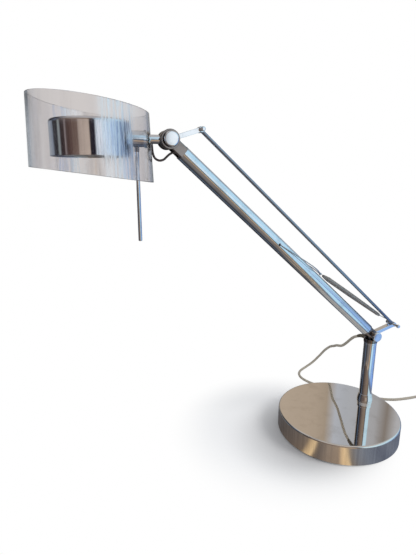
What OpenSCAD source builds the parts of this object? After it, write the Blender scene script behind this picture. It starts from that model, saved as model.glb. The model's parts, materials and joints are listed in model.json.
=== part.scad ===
// Architect lamp with a disc base, a parallel arm and a clear shade round a drum head.
// Origin: centre of the base's underside. The arm lies in a plane parallel to XZ, its head towards -X.

/* [Base] */
// Diameter of the base
base_d = 200; // [150:1:260]
// Height of the base with its pad
base_h = 35; // [28:0.5:50]
// Wall of the spun base cover
cover_wall = 1.5; // [0.8:0.1:3]
// Radius of the cover's rolled top edge
cover_round = 3; // [2:0.5:8]
// Thickness of the foot pad
pad_t = 2.5; // [1:0.5:4]
// Width by which the pad stays inside the cover
pad_inset = 5; // [3:0.5:15]
// Thickness of the cast weight
weight_t = 20; // [12:1:24]
// Diameter of the boss on the weight under the post
boss_d = 44; // [34:1:56]

/* [Post] */
// Distance of the post from the base's rim along X
post_rim = 32; // [30:1:60]
// Distance of the post from the base's centre along Y
post_y = 17; // [0:1:25]
// Diameter of the post
post_d = 21; // [18:0.5:26]
// Wall of the post
post_wall = 1.5; // [1:0.1:2]
// Height of the post's top above the table
post_top = 143; // [120:1:170]
// Diameter of the ferrule at the post's foot
ferrule_d = 26.5; // [25:0.5:36]
// Height of the ferrule
ferrule_h = 13; // [8:0.5:20]
// Thickness of the bush's flange on the post
flange_t = 3; // [1.5:0.5:5]
// Length of the bush in the post
bush_len = 30; // [20:1:45]
// Diameter of the swivel's spigot
spigot_d = 14; // [11:0.5:15]
// Diameter of the bolt that holds the post
base_bolt_d = 8; // [6:1:10]

/* [Lower joint] */
// Height of the arm's lower pivot above the post's top
pivot_rise = 17; // [16:0.5:24]
// Height of the swivel collar
collar_h = 6; // [5.6:0.2:7]
// Diameter of the swivel collar
collar_d = 23; // [22.5:0.5:28]
// Diameter of both hinge bolts
bolt_d = 6; // [5:0.5:7]
// Thickness of the block's tongue across the arm
tongue_t = 10; // [8:0.5:12]
// Thickness of the lever's blade in the tongue
blade_t = 4; // [3:0.5:5]
// Diameter of the lower knob
low_knob_d = 16.5; // [13:0.5:22]
// Thickness of the lower knob's disc
low_knob_t = 4; // [3:0.5:7]
// Length of the lower knob's hub
low_hub_len = 4.5; // [3:0.5:7]

/* [Arm] */
// Distance between the arm's two pivots
arm_len = 470; // [360:1:560]
// Rise of the arm above the level at rest, in degrees
arm_rise = 41.7; // [30:0.1:55]
// Diameter of the arm tube
arm_d = 20; // [17.5:0.5:24]
// Wall of the arm tube
arm_wall = 1.2; // [0.8:0.1:2]
// Reach of the lower fork from its pivot to the tube
low_reach = 16; // [14:0.5:24]
// Reach of the upper fork from its pivot to the tube
high_reach = 26; // [22:0.5:34]
// Thickness of the lower fork's ears
ear_t = 3.8; // [3:0.1:4.6]
// Height of the fork ears
ear_h = 15; // [12:0.5:16]
// Length of the fork plugs inside the tube
plug_len = 24; // [15:1:40]

/* [Levers and rod] */
// Length of both levers between their holes
lever_len = 45.8; // [36:0.1:56]
// Rise of the levers above the level, in degrees
lever_rise = 17.2; // [5:0.1:30]
// Height of the levers' bars
lever_h = 6; // [5:0.5:8]
// Width of the lower lever across the arm
lever_w = 9; // [8:0.5:10]
// Thickness of one upper lever plate
plate_t = 2; // [1.5:0.1:3]
// Diameter of the parallel rod
rod_d = 5; // [4:0.5:6]
// Diameter of the lever pins
pin_d = 4; // [3:0.5:4.5]
// Length of both lever pins with their ends
pin_len = 30; // [28:1:40]
// Diameter of the pins' round ends
pin_end_d = 6; // [5:0.5:8]
// Length of one round end
pin_end_len = 3.5; // [2:0.5:5]

/* [Spring] */
// Outer diameter of the spring
spring_d = 8; // [6:0.5:9]
// Diameter of the spring's wire
wire_d = 1.2; // [0.8:0.1:1.4]
// Number of curls
curls = 72; // [30:1:75]
// Length of the coiled part
curl_len = 148; // [130:1:160]
// Distance of the yoke's holes from the lower pivot along the arm
yoke_from = 252; // [235:1:270]
// Distance of the yoke's bend from the lower pivot along the arm
yoke_to = 158; // [145:1:175]
// Diameter of the yoke's wire
yoke_wire_d = 1.6; // [1.2:0.1:2]

/* [Upper joint] */
// Diameter of the hinge barrel
barrel_d = 25; // [22:0.5:30]
// Thickness of the barrel's core across the arm
core_t = 10.8; // [10:0.2:12]
// Half width of the upper fork across the arm
high_half = 11; // [10.5:0.5:13]
// Thickness of one barrel cap
cap_t = 3; // [2:0.5:5]
// Diameter of the upper knob
high_knob_d = 19; // [15:0.5:24]
// Thickness of the upper knob's disc
high_knob_t = 5; // [3:0.5:8]

/* [Neck] */
// Length of the neck between the hinge barrel and the shade
neck_len = 12; // [9:0.5:30]
// Diameter of the neck
neck_d = 11.5; // [10:0.5:13]
// Wall of the neck
neck_wall = 2; // [1:0.25:2.5]

/* [Head] */
// Diameter of the drum
drum_d = 98; // [80:1:110]
// Height of the drum
drum_h = 42.5; // [38:0.5:50]
// Height of the drum's top over the neck's axis
drum_rise = 20; // [18:0.5:25]
// Wall of the drum
drum_wall = 1.2; // [0.8:0.1:2]
// Radius of the drum's top corner
drum_round = 4; // [2:0.5:8]
// Diameter of the sleeve between the drum and the shade
sleeve_d = 20; // [17:0.5:24]
// Diameter of the sleeve's flange
flange_d = 22; // [20.5:0.5:26]
// Diameter of the handle rod
handle_d = 5; // [4:0.5:7]
// Length of the handle rod below its fitting
handle_len = 115; // [80:1:150]
// Distance of the handle rod's axis from the drum's wall
handle_gap = 6.95; // [5:0.05:12]
// Length of the handle rod's fitting
fitting_len = 6; // [4:0.5:10]
// Diameter of the capsule bulb
bulb_d = 13; // [10:0.5:15]
// Length of the capsule bulb
bulb_len = 40; // [30:1:45]
// Thickness of the lens glass
lens_t = 3; // [2:0.5:4]

/* [Shade] */
// Outer radius of the shade at the neck's height
shade_r = 73.3; // [64:0.1:85]
// Height of the shade on its axis
shade_h = 83; // [70:0.5:110]
// Depth of the shade's lower edge below the neck on its axis
shade_drop = 44.6; // [40:0.1:60]
// Wall of the clear shade
shade_wall = 3; // [2:0.1:4]
// Widening of the shade's radius for each millimetre down
shade_flare_share = 0.038; // [0:0.001:0.1]
// Slope of the shade's cut edges, in degrees
rim_slope = 7.4; // [0:0.1:12]

/* [Cords] */
// Diameter of the mains cord
cord_d = 5; // [4.5:0.1:6]
// Diameter of the head cable
cable_d = 3; // [2.5:0.1:4]
// Length of the cord relief's tapered body
relief_len = 20; // [14:1:40]
// Droop of the relief's end below the level, in degrees
relief_droop = 30; // [10:1:60]
// Gap between neighbouring loops of the coil
loop_gap = 1.4; // [1.2:0.1:3]
// Gap between the layers of the coil
layer_gap = 0.6; // [0.5:0.1:2]
// Outer radius of the coil's centre line
coil_r = 38.8; // [38:0.1:45]
// Length of the mains plug's body
plug_body_len = 34; // [30:1:45]
// Width of the mains plug's body
plug_w = 34; // [30:1:40]
// Thickness of the mains plug's body
plug_t = 13.6; // [12:0.2:18]

/* [Hidden] */
$fn = 64;
// Overrun of every cut
over = 1;
// Depth by which joined shapes of one piece run into each other
sink = 1;
// Radial clearance of a pin or tube in its bore
fit = 0.05;
// Gap between faces that turn on each other
run = 0.2;
// Gap between soft pieces and their neighbours
soft = 0.3;

// Base, worked out
post_x = base_d / 2 - post_rim;
pocket_room = 1;
bolt_short = 1;
washer_share = 2.4;
washer_t_share = 0.2;
head_share = 1.8;
head_h_share = 0.7;
cover_in_d = base_d - 2 * cover_wall;
pad_d = cover_in_d - 2 * pad_inset;
weight_d = cover_in_d - 2 * soft;
cover_under = base_h - cover_wall;
washer_d = base_bolt_d * washer_share;
washer_t = base_bolt_d * washer_t_share;
bolt_head_d = base_bolt_d * head_share;
bolt_head_h = base_bolt_d * head_h_share;
pocket_d = washer_d + 2 * soft;
pocket_h = bolt_head_h + washer_t + pocket_room;
post_bore = post_d - 2 * post_wall;
post_plug_h = 2 * base_bolt_d;
clip_t = 1.2;
clip_land = 2;
clip_groove = 1;
clip_reach = 1;
clip_d = spigot_d + 2 * clip_reach;
spigot_low = post_top - bush_len - run - clip_t - clip_land;

// Pivots, worked out
pivot_h = post_top + pivot_rise;
low_pivot = [post_x, post_y, pivot_h];
high_pivot = low_pivot + arm_len * [-cos(arm_rise), 0, sin(arm_rise)];
lever_end = lever_len * [cos(lever_rise), 0, sin(lever_rise)];
low_pin_at = low_pivot + lever_end;
collar_low = post_top + flange_t + run;
collar_top = collar_low + collar_h;
ear_r = ear_h / 2;
ear_in = tongue_t / 2 + run;
ear_out = ear_in + ear_t;
lever_gap = lever_w / 2 + run;

// Lower knob and bolt across the arm
low_head_d = bolt_d * head_share;
low_head_h = bolt_d * head_h_share;
low_knob_in = ear_out + run;
knob_hub_wall = 2;
high_hub_len = high_knob_t * 0.4;

// Pins
pin_in = pin_len / 2 - pin_end_len;
eye_wall = 2;
eye_d = pin_d + 2 * eye_wall;
low_eye_t = lever_w * 0.58;
fork_slot = low_eye_t + 2 * run;
fork_slot_len = eye_d + rod_d * 0.6;
tip_wall = 1.8;
lever_tip_d = pin_d + 2 * tip_wall;
high_eye_t = core_t - 2 * run;
pivot_play = 0.15;

// Upper joint across the arm
plate_in = core_t / 2 + run / 2;
plate_out = plate_in + plate_t;
high_ear_in = plate_out + run;
cap_in = high_half + run / 2;
cap_out = cap_in + cap_t;
core_step = 0.5;
core_d = barrel_d - 2 * core_step;
plate_eye_wall = 4.5;
plate_eye_d = bolt_d + 2 * plate_eye_wall;
neck_spigot_d = core_t * 0.65;
neck_spigot_len = 5;
neck_shoulder = 0.5;
cable_drop = 5;
stop_wall = 1.2;
high_bar_wall = 1.6;

// Head, worked out
head_x = high_pivot[0] - core_d / 2 - neck_len - shade_r;
neck_z = high_pivot[2];
head_at = [head_x, post_y, neck_z];
wall_out = head_x + shade_r;
drum_side = head_x + drum_d / 2;
drum_in_r = drum_d / 2 - drum_wall;
drum_top = neck_z + drum_rise;
drum_low = drum_top - drum_h;
sleeve_flange_t = 2;
nose_wall = 1.5;
nose_d = neck_d + 2 * nose_wall;
nipple_wall = 0.8;
nipple_d = neck_d + 2 * nipple_wall;
nut_t = 2.5;
nut_d = sleeve_d - 2 * nipple_wall;
flange_seat = head_x + sqrt(pow(shade_r - shade_wall, 2) - pow(flange_d / 2, 2)) - run;
nut_seat = head_x + sqrt(pow(drum_in_r, 2) - pow(nut_d / 2, 2)) - fit;
nipple_in = nut_seat - nut_t;
neck_end = drum_side - drum_wall;
holder_len = 18;
holder_wall = 2;
holder_d = bulb_d + 2 * holder_wall;
handle_x = drum_side + handle_gap;
fitting_wall = 0.5;
fitting_d = handle_d + 2 * fitting_wall;
stud_d = handle_d * 0.7;
groove_depth = 1;
fitting_top = neck_z - sleeve_d / 2;
fitting_low = fitting_top - fitting_len;
lens_ring_t = 1;
lens_ring_w = 3;
lens_low = drum_low + lens_ring_t + soft;
lens_r = drum_in_r - soft;
reflector_t = 0.8;
reflector_low = lens_low + lens_t + soft;
reflector_gap = 2;
reflector_top = drum_top - drum_wall - reflector_gap;
reflector_high_share = 0.55;
reflector_mid_share = 0.82;

// Parts of the cords, worked out
relief_z = collar_low + collar_h / 2;
relief_neck_d = collar_h * 0.8;
relief_flange_t = 1.5;
relief_flange_w = 1.7;
relief_flange_d = cord_d + 2 * relief_flange_w;
relief_root_d = relief_flange_d * 0.9;
relief_tip_w = 0.5;
relief_in = 8;
relief_start = post_y + collar_d / 2 + run;
relief_root = relief_start + relief_flange_t;
relief_bend_r = relief_len * 180 / (PI * relief_droop);
relief_steps = 8;
function relief_at(share) =
    [post_x, relief_root, relief_z]
    + relief_bend_r * [0, sin(relief_droop * share), cos(relief_droop * share) - 1];
relief_tip_len = 1;
cord_exit_dir = [0, cos(relief_droop), -sin(relief_droop)];
cord_exit = relief_at(1) + relief_tip_len * cord_exit_dir;
cable_off = 2.1;
cable_exit_x = wall_out + cable_off;
cable_exit = [cable_exit_x, post_y, neck_z - neck_d / 2 - run];
plug_axis = plug_t / 2;
coil_pitch = cord_d + loop_gap;
layer_pitch = cord_d + layer_gap;
coil_at = [285, 3, cord_d / 2];
coil_start = coil_at + [0, coil_r, 0];
coil_run_out = 55;

// Rings of the swept tubes
cord_sides = 10;
thin_sides = 8;
form_sides = 6;
curl_rings = 8;
loop_rings = 24;

// Route of the mains cord, chosen by hand: down from the swivel, behind the base and past its right side
cord_route = [
    [69, 68, 132], [74, 100, 104], [77, 123, 94], [84, 142, 84], [91, 165, 72], [96, 190, 53],
    [95, 207, 33], [85, 217, 14], [67, 217, 4], [48, 207, 2.5], [36, 191, 2.5], [34, 170, 2.5],
    [46, 142, 2.5], [73, 112, 2.5], [100, 84, 2.5], [126, 60, 2.5], [156, 44, 2.5], [190, 39, 2.5],
    [222, 39, 2.5], [252, 41, 2.5]
];

// Route of the head cable in the arm's plane: its fall from the neck, as distances from its exit along X
// and Z, then its loop, as distances from the upper pivot
cable_fall = [[0.4, -5.8], [1, -11.2]];
cable_loop = [[-18.5, -23.1], [-13.3, -26.2], [-7.3, -25.3], [-2.5, -21.4], [1.2, -18.3], [6.3, -16.1]];

// Shared shapes

module across(r, near, far) {
    translate([0, near, 0])
        rotate([-90, 0, 0])
            cylinder(r = r, h = far - near);
}

module along_x(r, from, to) {
    translate([from, 0, 0])
        rotate([0, 90, 0])
            cylinder(r = r, h = to - from);
}

// Frame of the arm: x from the lower pivot to the upper one, y to the near side, z up from the arm
module arm_frame() {
    translate(low_pivot)
        rotate([0, -arm_rise, 180])
            children();
}

module at_high() {
    translate(high_pivot)
        children();
}

function unit(v) = v / norm(v);

function heading(path, i) =
    i == 0 ? unit(path[1] - path[0])
    : i == len(path) - 1 ? unit(path[i] - path[i - 1])
    : unit(unit(path[i + 1] - path[i]) + unit(path[i] - path[i - 1]));

function square_to(t, v) = unit(v - t * (v * t));

// Directions square to the path, carried along it without twist
function carried(path, first) = [
    for (i = 0, s = square_to(heading(path, 0), first);
         i < len(path);
         i = i + 1, s = i < len(path) ? square_to(heading(path, i), s) : s) s
];

// Smooth curve through the points of a route, with a ring about every step
function between(a, b, c, d, t) =
    0.5 * (2 * b + (c - a) * t + (2 * a - 5 * b + 4 * c - d) * t * t + (3 * b - a - 3 * c + d) * t * t * t);

function smooth(route, step) = [
    for (i = [0 : len(route) - 2])
        let (count = max(1, round(norm(route[i + 1] - route[i]) / step)),
             before = i == 0 ? 2 * route[0] - route[1] : route[i - 1],
             after = i == len(route) - 2 ? 2 * route[i + 1] - route[i] : route[i + 2])
            for (k = [0 : count - 1])
                between(before, route[i], route[i + 1], after, k / count),
    route[len(route) - 1]
];

// Tube along a path; r is one radius, or a list with one for each point
module swept(path, r, sides, first) {
    side = carried(path, first);
    n = len(path);
    points = [
        for (i = [0 : n - 1])
            let (t = heading(path, i), s = side[i], b = cross(t, s), ring_r = is_list(r) ? r[i] : r)
                for (j = [0 : sides - 1])
                    path[i] + ring_r * (cos(360 * j / sides) * s + sin(360 * j / sides) * b)
    ];
    walls = [
        for (i = [0 : n - 2])
            for (j = [0 : sides - 1])
                let (a = i * sides + j, b = i * sides + (j + 1) % sides)
                    each [[a, b, b + sides], [a, b + sides, a + sides]]
    ];
    ends = [
        for (j = [1 : sides - 2])
            each [[0, j + 1, j], [(n - 1) * sides, (n - 1) * sides + j, (n - 1) * sides + j + 1]]
    ];
    polyhedron(points = points, faces = [for (f = concat(walls, ends)) [f[0], f[2], f[1]]]);
}

// Least gap between a tube and its own other turns
function least_gap(path, d, apart) = min([
    for (i = [0 : 3 : len(path) - 1])
        for (j = [i + apart : len(path) - 1])
            norm(path[i] - path[j]) - d
]);

// Base

module foot_pad() {
    color("dimgray")
        cylinder(d = pad_d, h = pad_t, $fn = 128);
}

module base_cover() {
    color("lightsteelblue")
        difference() {
            rotate_extrude($fn = 128) {
                translate([0, base_h - cover_wall])
                    square([base_d / 2 - cover_round, cover_wall]);
                translate([base_d / 2 - cover_wall, pad_t])
                    square([cover_wall, base_h - pad_t - cover_round]);
                translate([base_d / 2 - cover_round, base_h - cover_round])
                    intersection() {
                        difference() {
                            circle(r = cover_round);
                            circle(r = cover_round - cover_wall);
                        }
                        square(cover_round);
                    }
            }
            translate([post_x, post_y, base_h - cover_wall - over])
                cylinder(d = base_bolt_d + 2 * fit, h = cover_wall + 2 * over);
        }
}

module base_weight() {
    color("darkslategray")
        difference() {
            union() {
                translate([0, 0, pad_t])
                    cylinder(d = weight_d, h = weight_t, $fn = 128);
                translate([post_x, post_y, pad_t])
                    cylinder(d = boss_d, h = cover_under - pad_t);
            }
            translate([post_x, post_y, pad_t - over])
                cylinder(d = base_bolt_d + 2 * fit, h = base_h);
            translate([post_x, post_y, pad_t - over])
                cylinder(d = pocket_d, h = pocket_h + over);
        }
}

module bolt_washer() {
    color("silver")
        translate([post_x, post_y, pad_t + pocket_h - washer_t])
            difference() {
                cylinder(d = washer_d, h = washer_t);
                translate([0, 0, -over])
                    cylinder(d = base_bolt_d + 2 * fit, h = washer_t + 2 * over);
            }
}

module base_bolt() {
    head_low = pad_t + pocket_h - washer_t - bolt_head_h;
    color("gray")
        translate([post_x, post_y, head_low]) {
            cylinder(d = bolt_head_d, h = bolt_head_h, $fn = 6);
            cylinder(d = base_bolt_d, h = base_h + post_plug_h - head_low - bolt_short);
        }
}

module post_plug() {
    color("gray")
        translate([post_x, post_y, base_h])
            difference() {
                cylinder(d = post_bore - 2 * fit, h = post_plug_h);
                translate([0, 0, -over])
                    cylinder(d = base_bolt_d + 2 * fit, h = post_plug_h + 2 * over);
            }
}

module ferrule() {
    color("lightsteelblue")
        translate([post_x, post_y, base_h])
            rotate_extrude()
                polygon([
                    [post_d / 2 + fit, 0],
                    [ferrule_d / 2, 0],
                    [ferrule_d / 2, ferrule_h * 0.15],
                    [post_d / 2 + cover_wall, ferrule_h * 0.85],
                    [post_d / 2 + cover_wall, ferrule_h],
                    [post_d / 2 + fit, ferrule_h]
                ]);
}

module post() {
    color("lightsteelblue")
        translate([post_x, post_y, base_h])
            difference() {
                cylinder(d = post_d, h = post_top - base_h);
                translate([0, 0, -over])
                    cylinder(d = post_bore, h = post_top - base_h + 2 * over);
            }
}

module post_bush() {
    color("silver")
        translate([post_x, post_y, post_top])
            difference() {
                union() {
                    translate([0, 0, -bush_len])
                        cylinder(d = post_bore - 2 * fit, h = bush_len);
                    cylinder(d = post_d + 2 * soft, h = flange_t);
                }
                translate([0, 0, -bush_len - over])
                    cylinder(d = spigot_d + 2 * fit, h = bush_len + flange_t + 2 * over);
            }
}

// Swivel

module swivel_block() {
    color("slategray")
        difference() {
            union() {
                translate([post_x, post_y, spigot_low])
                    cylinder(d = spigot_d, h = collar_low - spigot_low);
                translate([post_x, post_y, collar_low])
                    cylinder(d = collar_d, h = collar_h);
                translate([post_x - ear_r, post_y - tongue_t / 2, collar_low])
                    cube([ear_h, tongue_t, pivot_h - collar_low]);
                translate(low_pivot)
                    across(ear_r, -tongue_t / 2, tongue_t / 2);
            }
            translate(low_pivot) {
                across(bolt_d / 2 + fit, -tongue_t, tongue_t);
                translate([-ear_h, -blade_t / 2, -ear_r - run])
                    cube([2 * ear_h, blade_t, ear_h + over]);
            }
            translate([post_x, post_y, post_top - bush_len - clip_t - run])
                difference() {
                    cylinder(d = spigot_d + over, h = clip_t + 2 * fit);
                    translate([0, 0, -over])
                        cylinder(d = spigot_d - 2 * clip_groove, h = clip_t + 2 * over);
                }
            translate([post_x, post_y, relief_z])
                across(relief_neck_d / 2 + fit, relief_in - fit, collar_d);
        }
}

module swivel_clip() {
    color("dimgray")
        translate([post_x, post_y, post_top - bush_len - clip_t - run + fit])
            difference() {
                cylinder(d = clip_d, h = clip_t);
                translate([0, 0, -over])
                    cylinder(d = spigot_d - 2 * clip_groove + 2 * fit, h = clip_t + 2 * over);
            }
}

module lower_bolt() {
    color("silver")
        translate(low_pivot) {
            across(bolt_d / 2, -low_knob_in - low_hub_len, low_knob_in + low_head_h / 2);
            across(low_head_d / 2, low_knob_in, low_knob_in + low_head_h);
        }
}

// Bar with a blade in the block's slot and a fork for the rod's eye
module lower_lever() {
    blade_eye = ear_r - run;
    bar_from = ear_r + run;
    color("lightsteelblue")
        translate(low_pivot)
            rotate([0, -lever_rise, 0])
                difference() {
                    union() {
                        across(blade_eye, -blade_t / 2 + fit, blade_t / 2 - fit);
                        translate([0, -blade_t / 2 + fit, -lever_h / 2])
                            cube([bar_from + sink, blade_t - 2 * fit, lever_h]);
                        translate([bar_from, -lever_w / 2, -lever_h / 2])
                            cube([lever_len - bar_from, lever_w, lever_h]);
                        translate([lever_len, 0, 0])
                            across(lever_tip_d / 2, -lever_w / 2, lever_w / 2);
                    }
                    across(bolt_d / 2 + fit, -lever_w, lever_w);
                    translate([lever_len, 0, 0])
                        across(pin_d / 2 + fit, -lever_w, lever_w);
                    translate([lever_len - fork_slot_len, -fork_slot / 2, -lever_h])
                        cube([2 * fork_slot_len, fork_slot, 2 * lever_h]);
                }
}

module lever_pin() {
    across(pin_d / 2, -pin_in, pin_in);
    for (side = [-1, 1])
        rotate([side > 0 ? 0 : 180, 0, 0])
            translate([0, pin_in, 0])
                rotate([-90, 0, 0])
                    rotate_extrude()
                        polygon([
                            [0, 0],
                            [pin_end_d / 2, 0],
                            [pin_end_d / 2, pin_end_len * 0.7],
                            [pin_end_d * 0.4, pin_end_len],
                            [0, pin_end_len]
                        ]);
}

module lower_pin() {
    color("silver")
        translate(low_pin_at)
            lever_pin();
}

// Round knob with a domed face, its hub towards the joint
module knob(d, t, hub_d, hub_len) {
    rotate([90, 0, 0])
        difference() {
            rotate_extrude()
                union() {
                    square([hub_d / 2, hub_len + t / 2]);
                    translate([0, hub_len])
                        polygon([
                            [0, 0],
                            [d / 2 - t * 0.15, 0],
                            [d / 2, t * 0.2],
                            [d / 2, t * 0.6],
                            [d * 0.46, t * 0.8],
                            [d * 0.32, t * 0.93],
                            [d * 0.15, t * 0.99],
                            [0, t]
                        ]);
                }
            translate([0, 0, -over])
                cylinder(d = bolt_d + 2 * fit, h = hub_len + over + fit);
        }
}

module lower_knob() {
    color("lightsteelblue")
        translate(low_pivot - [0, low_knob_in, 0])
            knob(low_knob_d, low_knob_t, bolt_d + 2 * knob_hub_wall, low_hub_len);
}

// Arm

// End fitting milled from round bar: two ears, a solid stop and a plug that enters the tube
module fork(half_w, ear_from, reach, bar_r) {
    stop_t = arm_wall + stop_wall;
    difference() {
        union() {
            intersection() {
                union() {
                    across(ear_r, -half_w, half_w);
                    translate([0, -half_w, -ear_r])
                        cube([reach, 2 * half_w, ear_h]);
                }
                along_x(bar_r, -ear_h, reach);
            }
            translate([reach - stop_t, 0, 0])
                along_x(arm_d / 2, 0, stop_t);
            along_x(arm_d / 2 - arm_wall - fit, reach - stop_t, reach + plug_len);
        }
        across(bolt_d / 2 + fit, -2 * half_w, 2 * half_w);
        translate([-ear_h, -ear_from, -ear_h])
            cube([ear_h + reach - stop_t, 2 * ear_from, 2 * ear_h]);
        translate([0, 0, -cable_drop])
            along_x(cable_d / 2 + fit, 0, reach + plug_len + over);
    }
}

module arm_fork_low() {
    color("slategray")
        arm_frame()
            fork(ear_out, ear_in, low_reach, arm_d / 2);
}

module arm_fork_high() {
    color("slategray")
        arm_frame()
            translate([arm_len, 0, 0])
                rotate([0, 0, 180])
                    fork(high_half, high_ear_in, high_reach, high_half + high_bar_wall);
}

module arm_tube() {
    color("lightblue")
        arm_frame()
            difference() {
                along_x(arm_d / 2, low_reach, arm_len - high_reach);
                along_x(arm_d / 2 - arm_wall, low_reach - over, arm_len - high_reach + over);
                translate([yoke_from, 0, 0])
                    across(yoke_wire_d + soft, -arm_d, arm_d);
            }
}

module arm_cable() {
    color("dimgray")
        arm_frame()
            translate([0, 0, -cable_drop])
                along_x(cable_d / 2, low_reach, arm_len - high_reach);
}

module rod_eye(t, bore_r) {
    difference() {
        across(eye_d / 2, -t / 2, t / 2);
        across(bore_r, -t, t);
    }
}

module parallel_rod() {
    color("silver")
        translate(lever_end)
            arm_frame()
                difference() {
                    union() {
                        along_x(rod_d / 2, eye_d / 2 - sink, arm_len - eye_d / 2 + sink);
                        rod_eye(low_eye_t, pin_d / 2 + fit);
                        translate([arm_len, 0, 0])
                            rod_eye(high_eye_t, pin_d / 2 + pivot_play);
                    }
                    across(pin_d / 2 + fit, -lever_w, lever_w);
                    translate([arm_len, 0, 0])
                        across(pin_d / 2 + pivot_play, -lever_w, lever_w);
                }
}

// Spring and yoke, both in the arm's frame

yoke_side = arm_d / 2 + yoke_wire_d / 2 + soft;
yoke_low = 1;
yoke_top = arm_d / 2 + spring_d / 2 - yoke_low;
yoke_bend_r = yoke_wire_d + wire_d / 2 + 2 * run;
yoke_leg = yoke_from - yoke_to;
yoke_half = [
    [yoke_from, arm_d * 0.41, 0],
    [yoke_from, yoke_side - yoke_wire_d, 0],
    [yoke_from - yoke_wire_d * 0.3, yoke_side - yoke_wire_d * 0.3, yoke_wire_d * 0.05],
    [yoke_from - yoke_wire_d, yoke_side, yoke_wire_d * 0.1],
    [yoke_from - yoke_leg * 0.3, yoke_side, yoke_top * 0.35],
    [yoke_from - yoke_leg * 0.55, yoke_side, yoke_top * 0.67],
    [yoke_from - yoke_leg * 0.74, yoke_side * 0.9, yoke_top * 0.88],
    [yoke_to + yoke_leg * 0.12, yoke_side * 0.52, yoke_top],
    [yoke_to + yoke_bend_r * 1.6, yoke_bend_r, yoke_top],
    [yoke_to + yoke_bend_r * 0.6, yoke_bend_r * 0.87, yoke_top],
    [yoke_to + yoke_bend_r * 0.15, yoke_bend_r * 0.5, yoke_top]
];
yoke_path = concat(
    yoke_half,
    [[yoke_to, 0, yoke_top]],
    [for (i = [len(yoke_half) - 1 : -1 : 0]) [yoke_half[i][0], -yoke_half[i][1], yoke_half[i][2]]]
);

module yoke() {
    color("gray")
        arm_frame()
            swept(yoke_path, yoke_wire_d / 2, thin_sides, [0, 0, 1]);
}

// Lever pin's centre in the arm's frame, and the spring's place across it
low_pin_local = lever_len * [cos(180 - arm_rise - lever_rise), 0, sin(180 - arm_rise - lever_rise)];
hook_y = -(lever_w / 2 + pin_in) / 2;
spring_from = [yoke_to, 0, yoke_top];
spring_dir = unit(low_pin_local - spring_from);
spring_up = [-spring_dir[2], 0, spring_dir[0]];
spring_len = norm(low_pin_local - spring_from);
spring_mean_r = (spring_d - wire_d) / 2;
hook_r = pin_d / 2 + wire_d / 2 + run;
loop_r = yoke_wire_d / 2 + wire_d / 2 + run;
coil_from = loop_r + spring_d / 2;
hook_turn = 250;
hook_steps = 10;

function spring_point(a, b, y) =
    spring_from + a * spring_dir - b * spring_up
    + [0, hook_y * min(1, max(0, a / (spring_len - 2 * hook_r))) + y, 0];

function curl_swell(k) = min(1, k / curl_rings, (curls * curl_rings - k) / curl_rings);

spring_path = concat(
    [for (i = [0 : hook_steps])
        let (t = hook_turn * (1 - i / hook_steps))
            spring_point(-loop_r * sin(t), loop_r * cos(t), 0)],
    [for (k = [0 : curls * curl_rings])
        let (a = coil_from + curl_len * k / (curls * curl_rings),
             r = spring_mean_r * curl_swell(k),
             t = 360 * k / curl_rings)
            spring_point(a, r * cos(t), r * sin(t))],
    [for (i = [0 : hook_steps])
        let (t = hook_turn * i / hook_steps)
            spring_point(spring_len + hook_r * sin(t), hook_r * cos(t), 0)]
);
spring_curl_path = [for (i = [2 * hook_steps : len(spring_path) - 2 * hook_steps]) spring_path[i]];
echo(spring_gap = least_gap(spring_curl_path, wire_d, curl_rings / 2));

module spring() {
    color("dimgray")
        arm_frame()
            swept(spring_path, wire_d / 2, form_sides, [0, 1, 0]);
}

// Upper joint

module upper_bolt() {
    color("silver")
        at_high() {
            across(bolt_d / 2, -cap_out - run - high_hub_len, cap_out + run + low_head_h / 2);
            across(low_head_d / 2, cap_out + run, cap_out + run + low_head_h);
        }
}

// Ringed end cap of the barrel, from its inner face outward along +Y
module barrel_cap() {
    ring = cap_t / 3;
    difference() {
        union() {
            across(barrel_d / 2, 0, ring);
            across(barrel_d / 2 - ring / 2, 0, cap_t);
            across(barrel_d / 2, 2 * ring, cap_t);
        }
        across(bolt_d / 2 + fit, -over, cap_t + over);
    }
}

module cap_near() {
    color("dimgray")
        at_high()
            translate([0, -cap_in, 0])
                rotate([0, 0, 180])
                    barrel_cap();
}

module cap_far() {
    color("dimgray")
        at_high()
            translate([0, cap_in, 0])
                barrel_cap();
}

module upper_knob() {
    color("white")
        translate(high_pivot - [0, cap_out + run, 0])
            knob(high_knob_d, high_knob_t, bolt_d + 2 * knob_hub_wall, high_hub_len);
}

module hinge_hub() {
    color("dimgray")
        at_high()
            difference() {
                across(core_d / 2, -core_t / 2, core_t / 2);
                across(bolt_d / 2 + fit, -core_t, core_t);
                along_x(neck_spigot_d / 2 + fit, -core_d, -core_d / 2 + neck_spigot_len + fit);
            }
}

module lever_plate() {
    difference() {
        rotate([0, -lever_rise, 0])
            union() {
                across(plate_eye_d / 2, 0, plate_t);
                translate([0, 0, -lever_h / 2])
                    cube([lever_len, plate_t, lever_h]);
                translate([lever_len, 0, 0])
                    across(lever_tip_d / 2, 0, plate_t);
            }
        across(bolt_d / 2 + fit, -over, plate_t + over);
        translate(lever_end)
            across(pin_d / 2 + fit, -over, plate_t + over);
    }
}

module lever_near() {
    color("lightsteelblue")
        at_high()
            translate([0, -plate_out, 0])
                lever_plate();
}

module lever_far() {
    color("lightsteelblue")
        at_high()
            translate([0, plate_in, 0])
                lever_plate();
}

module upper_pin() {
    color("silver")
        translate(high_pivot + lever_end)
            lever_pin();
}

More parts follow.
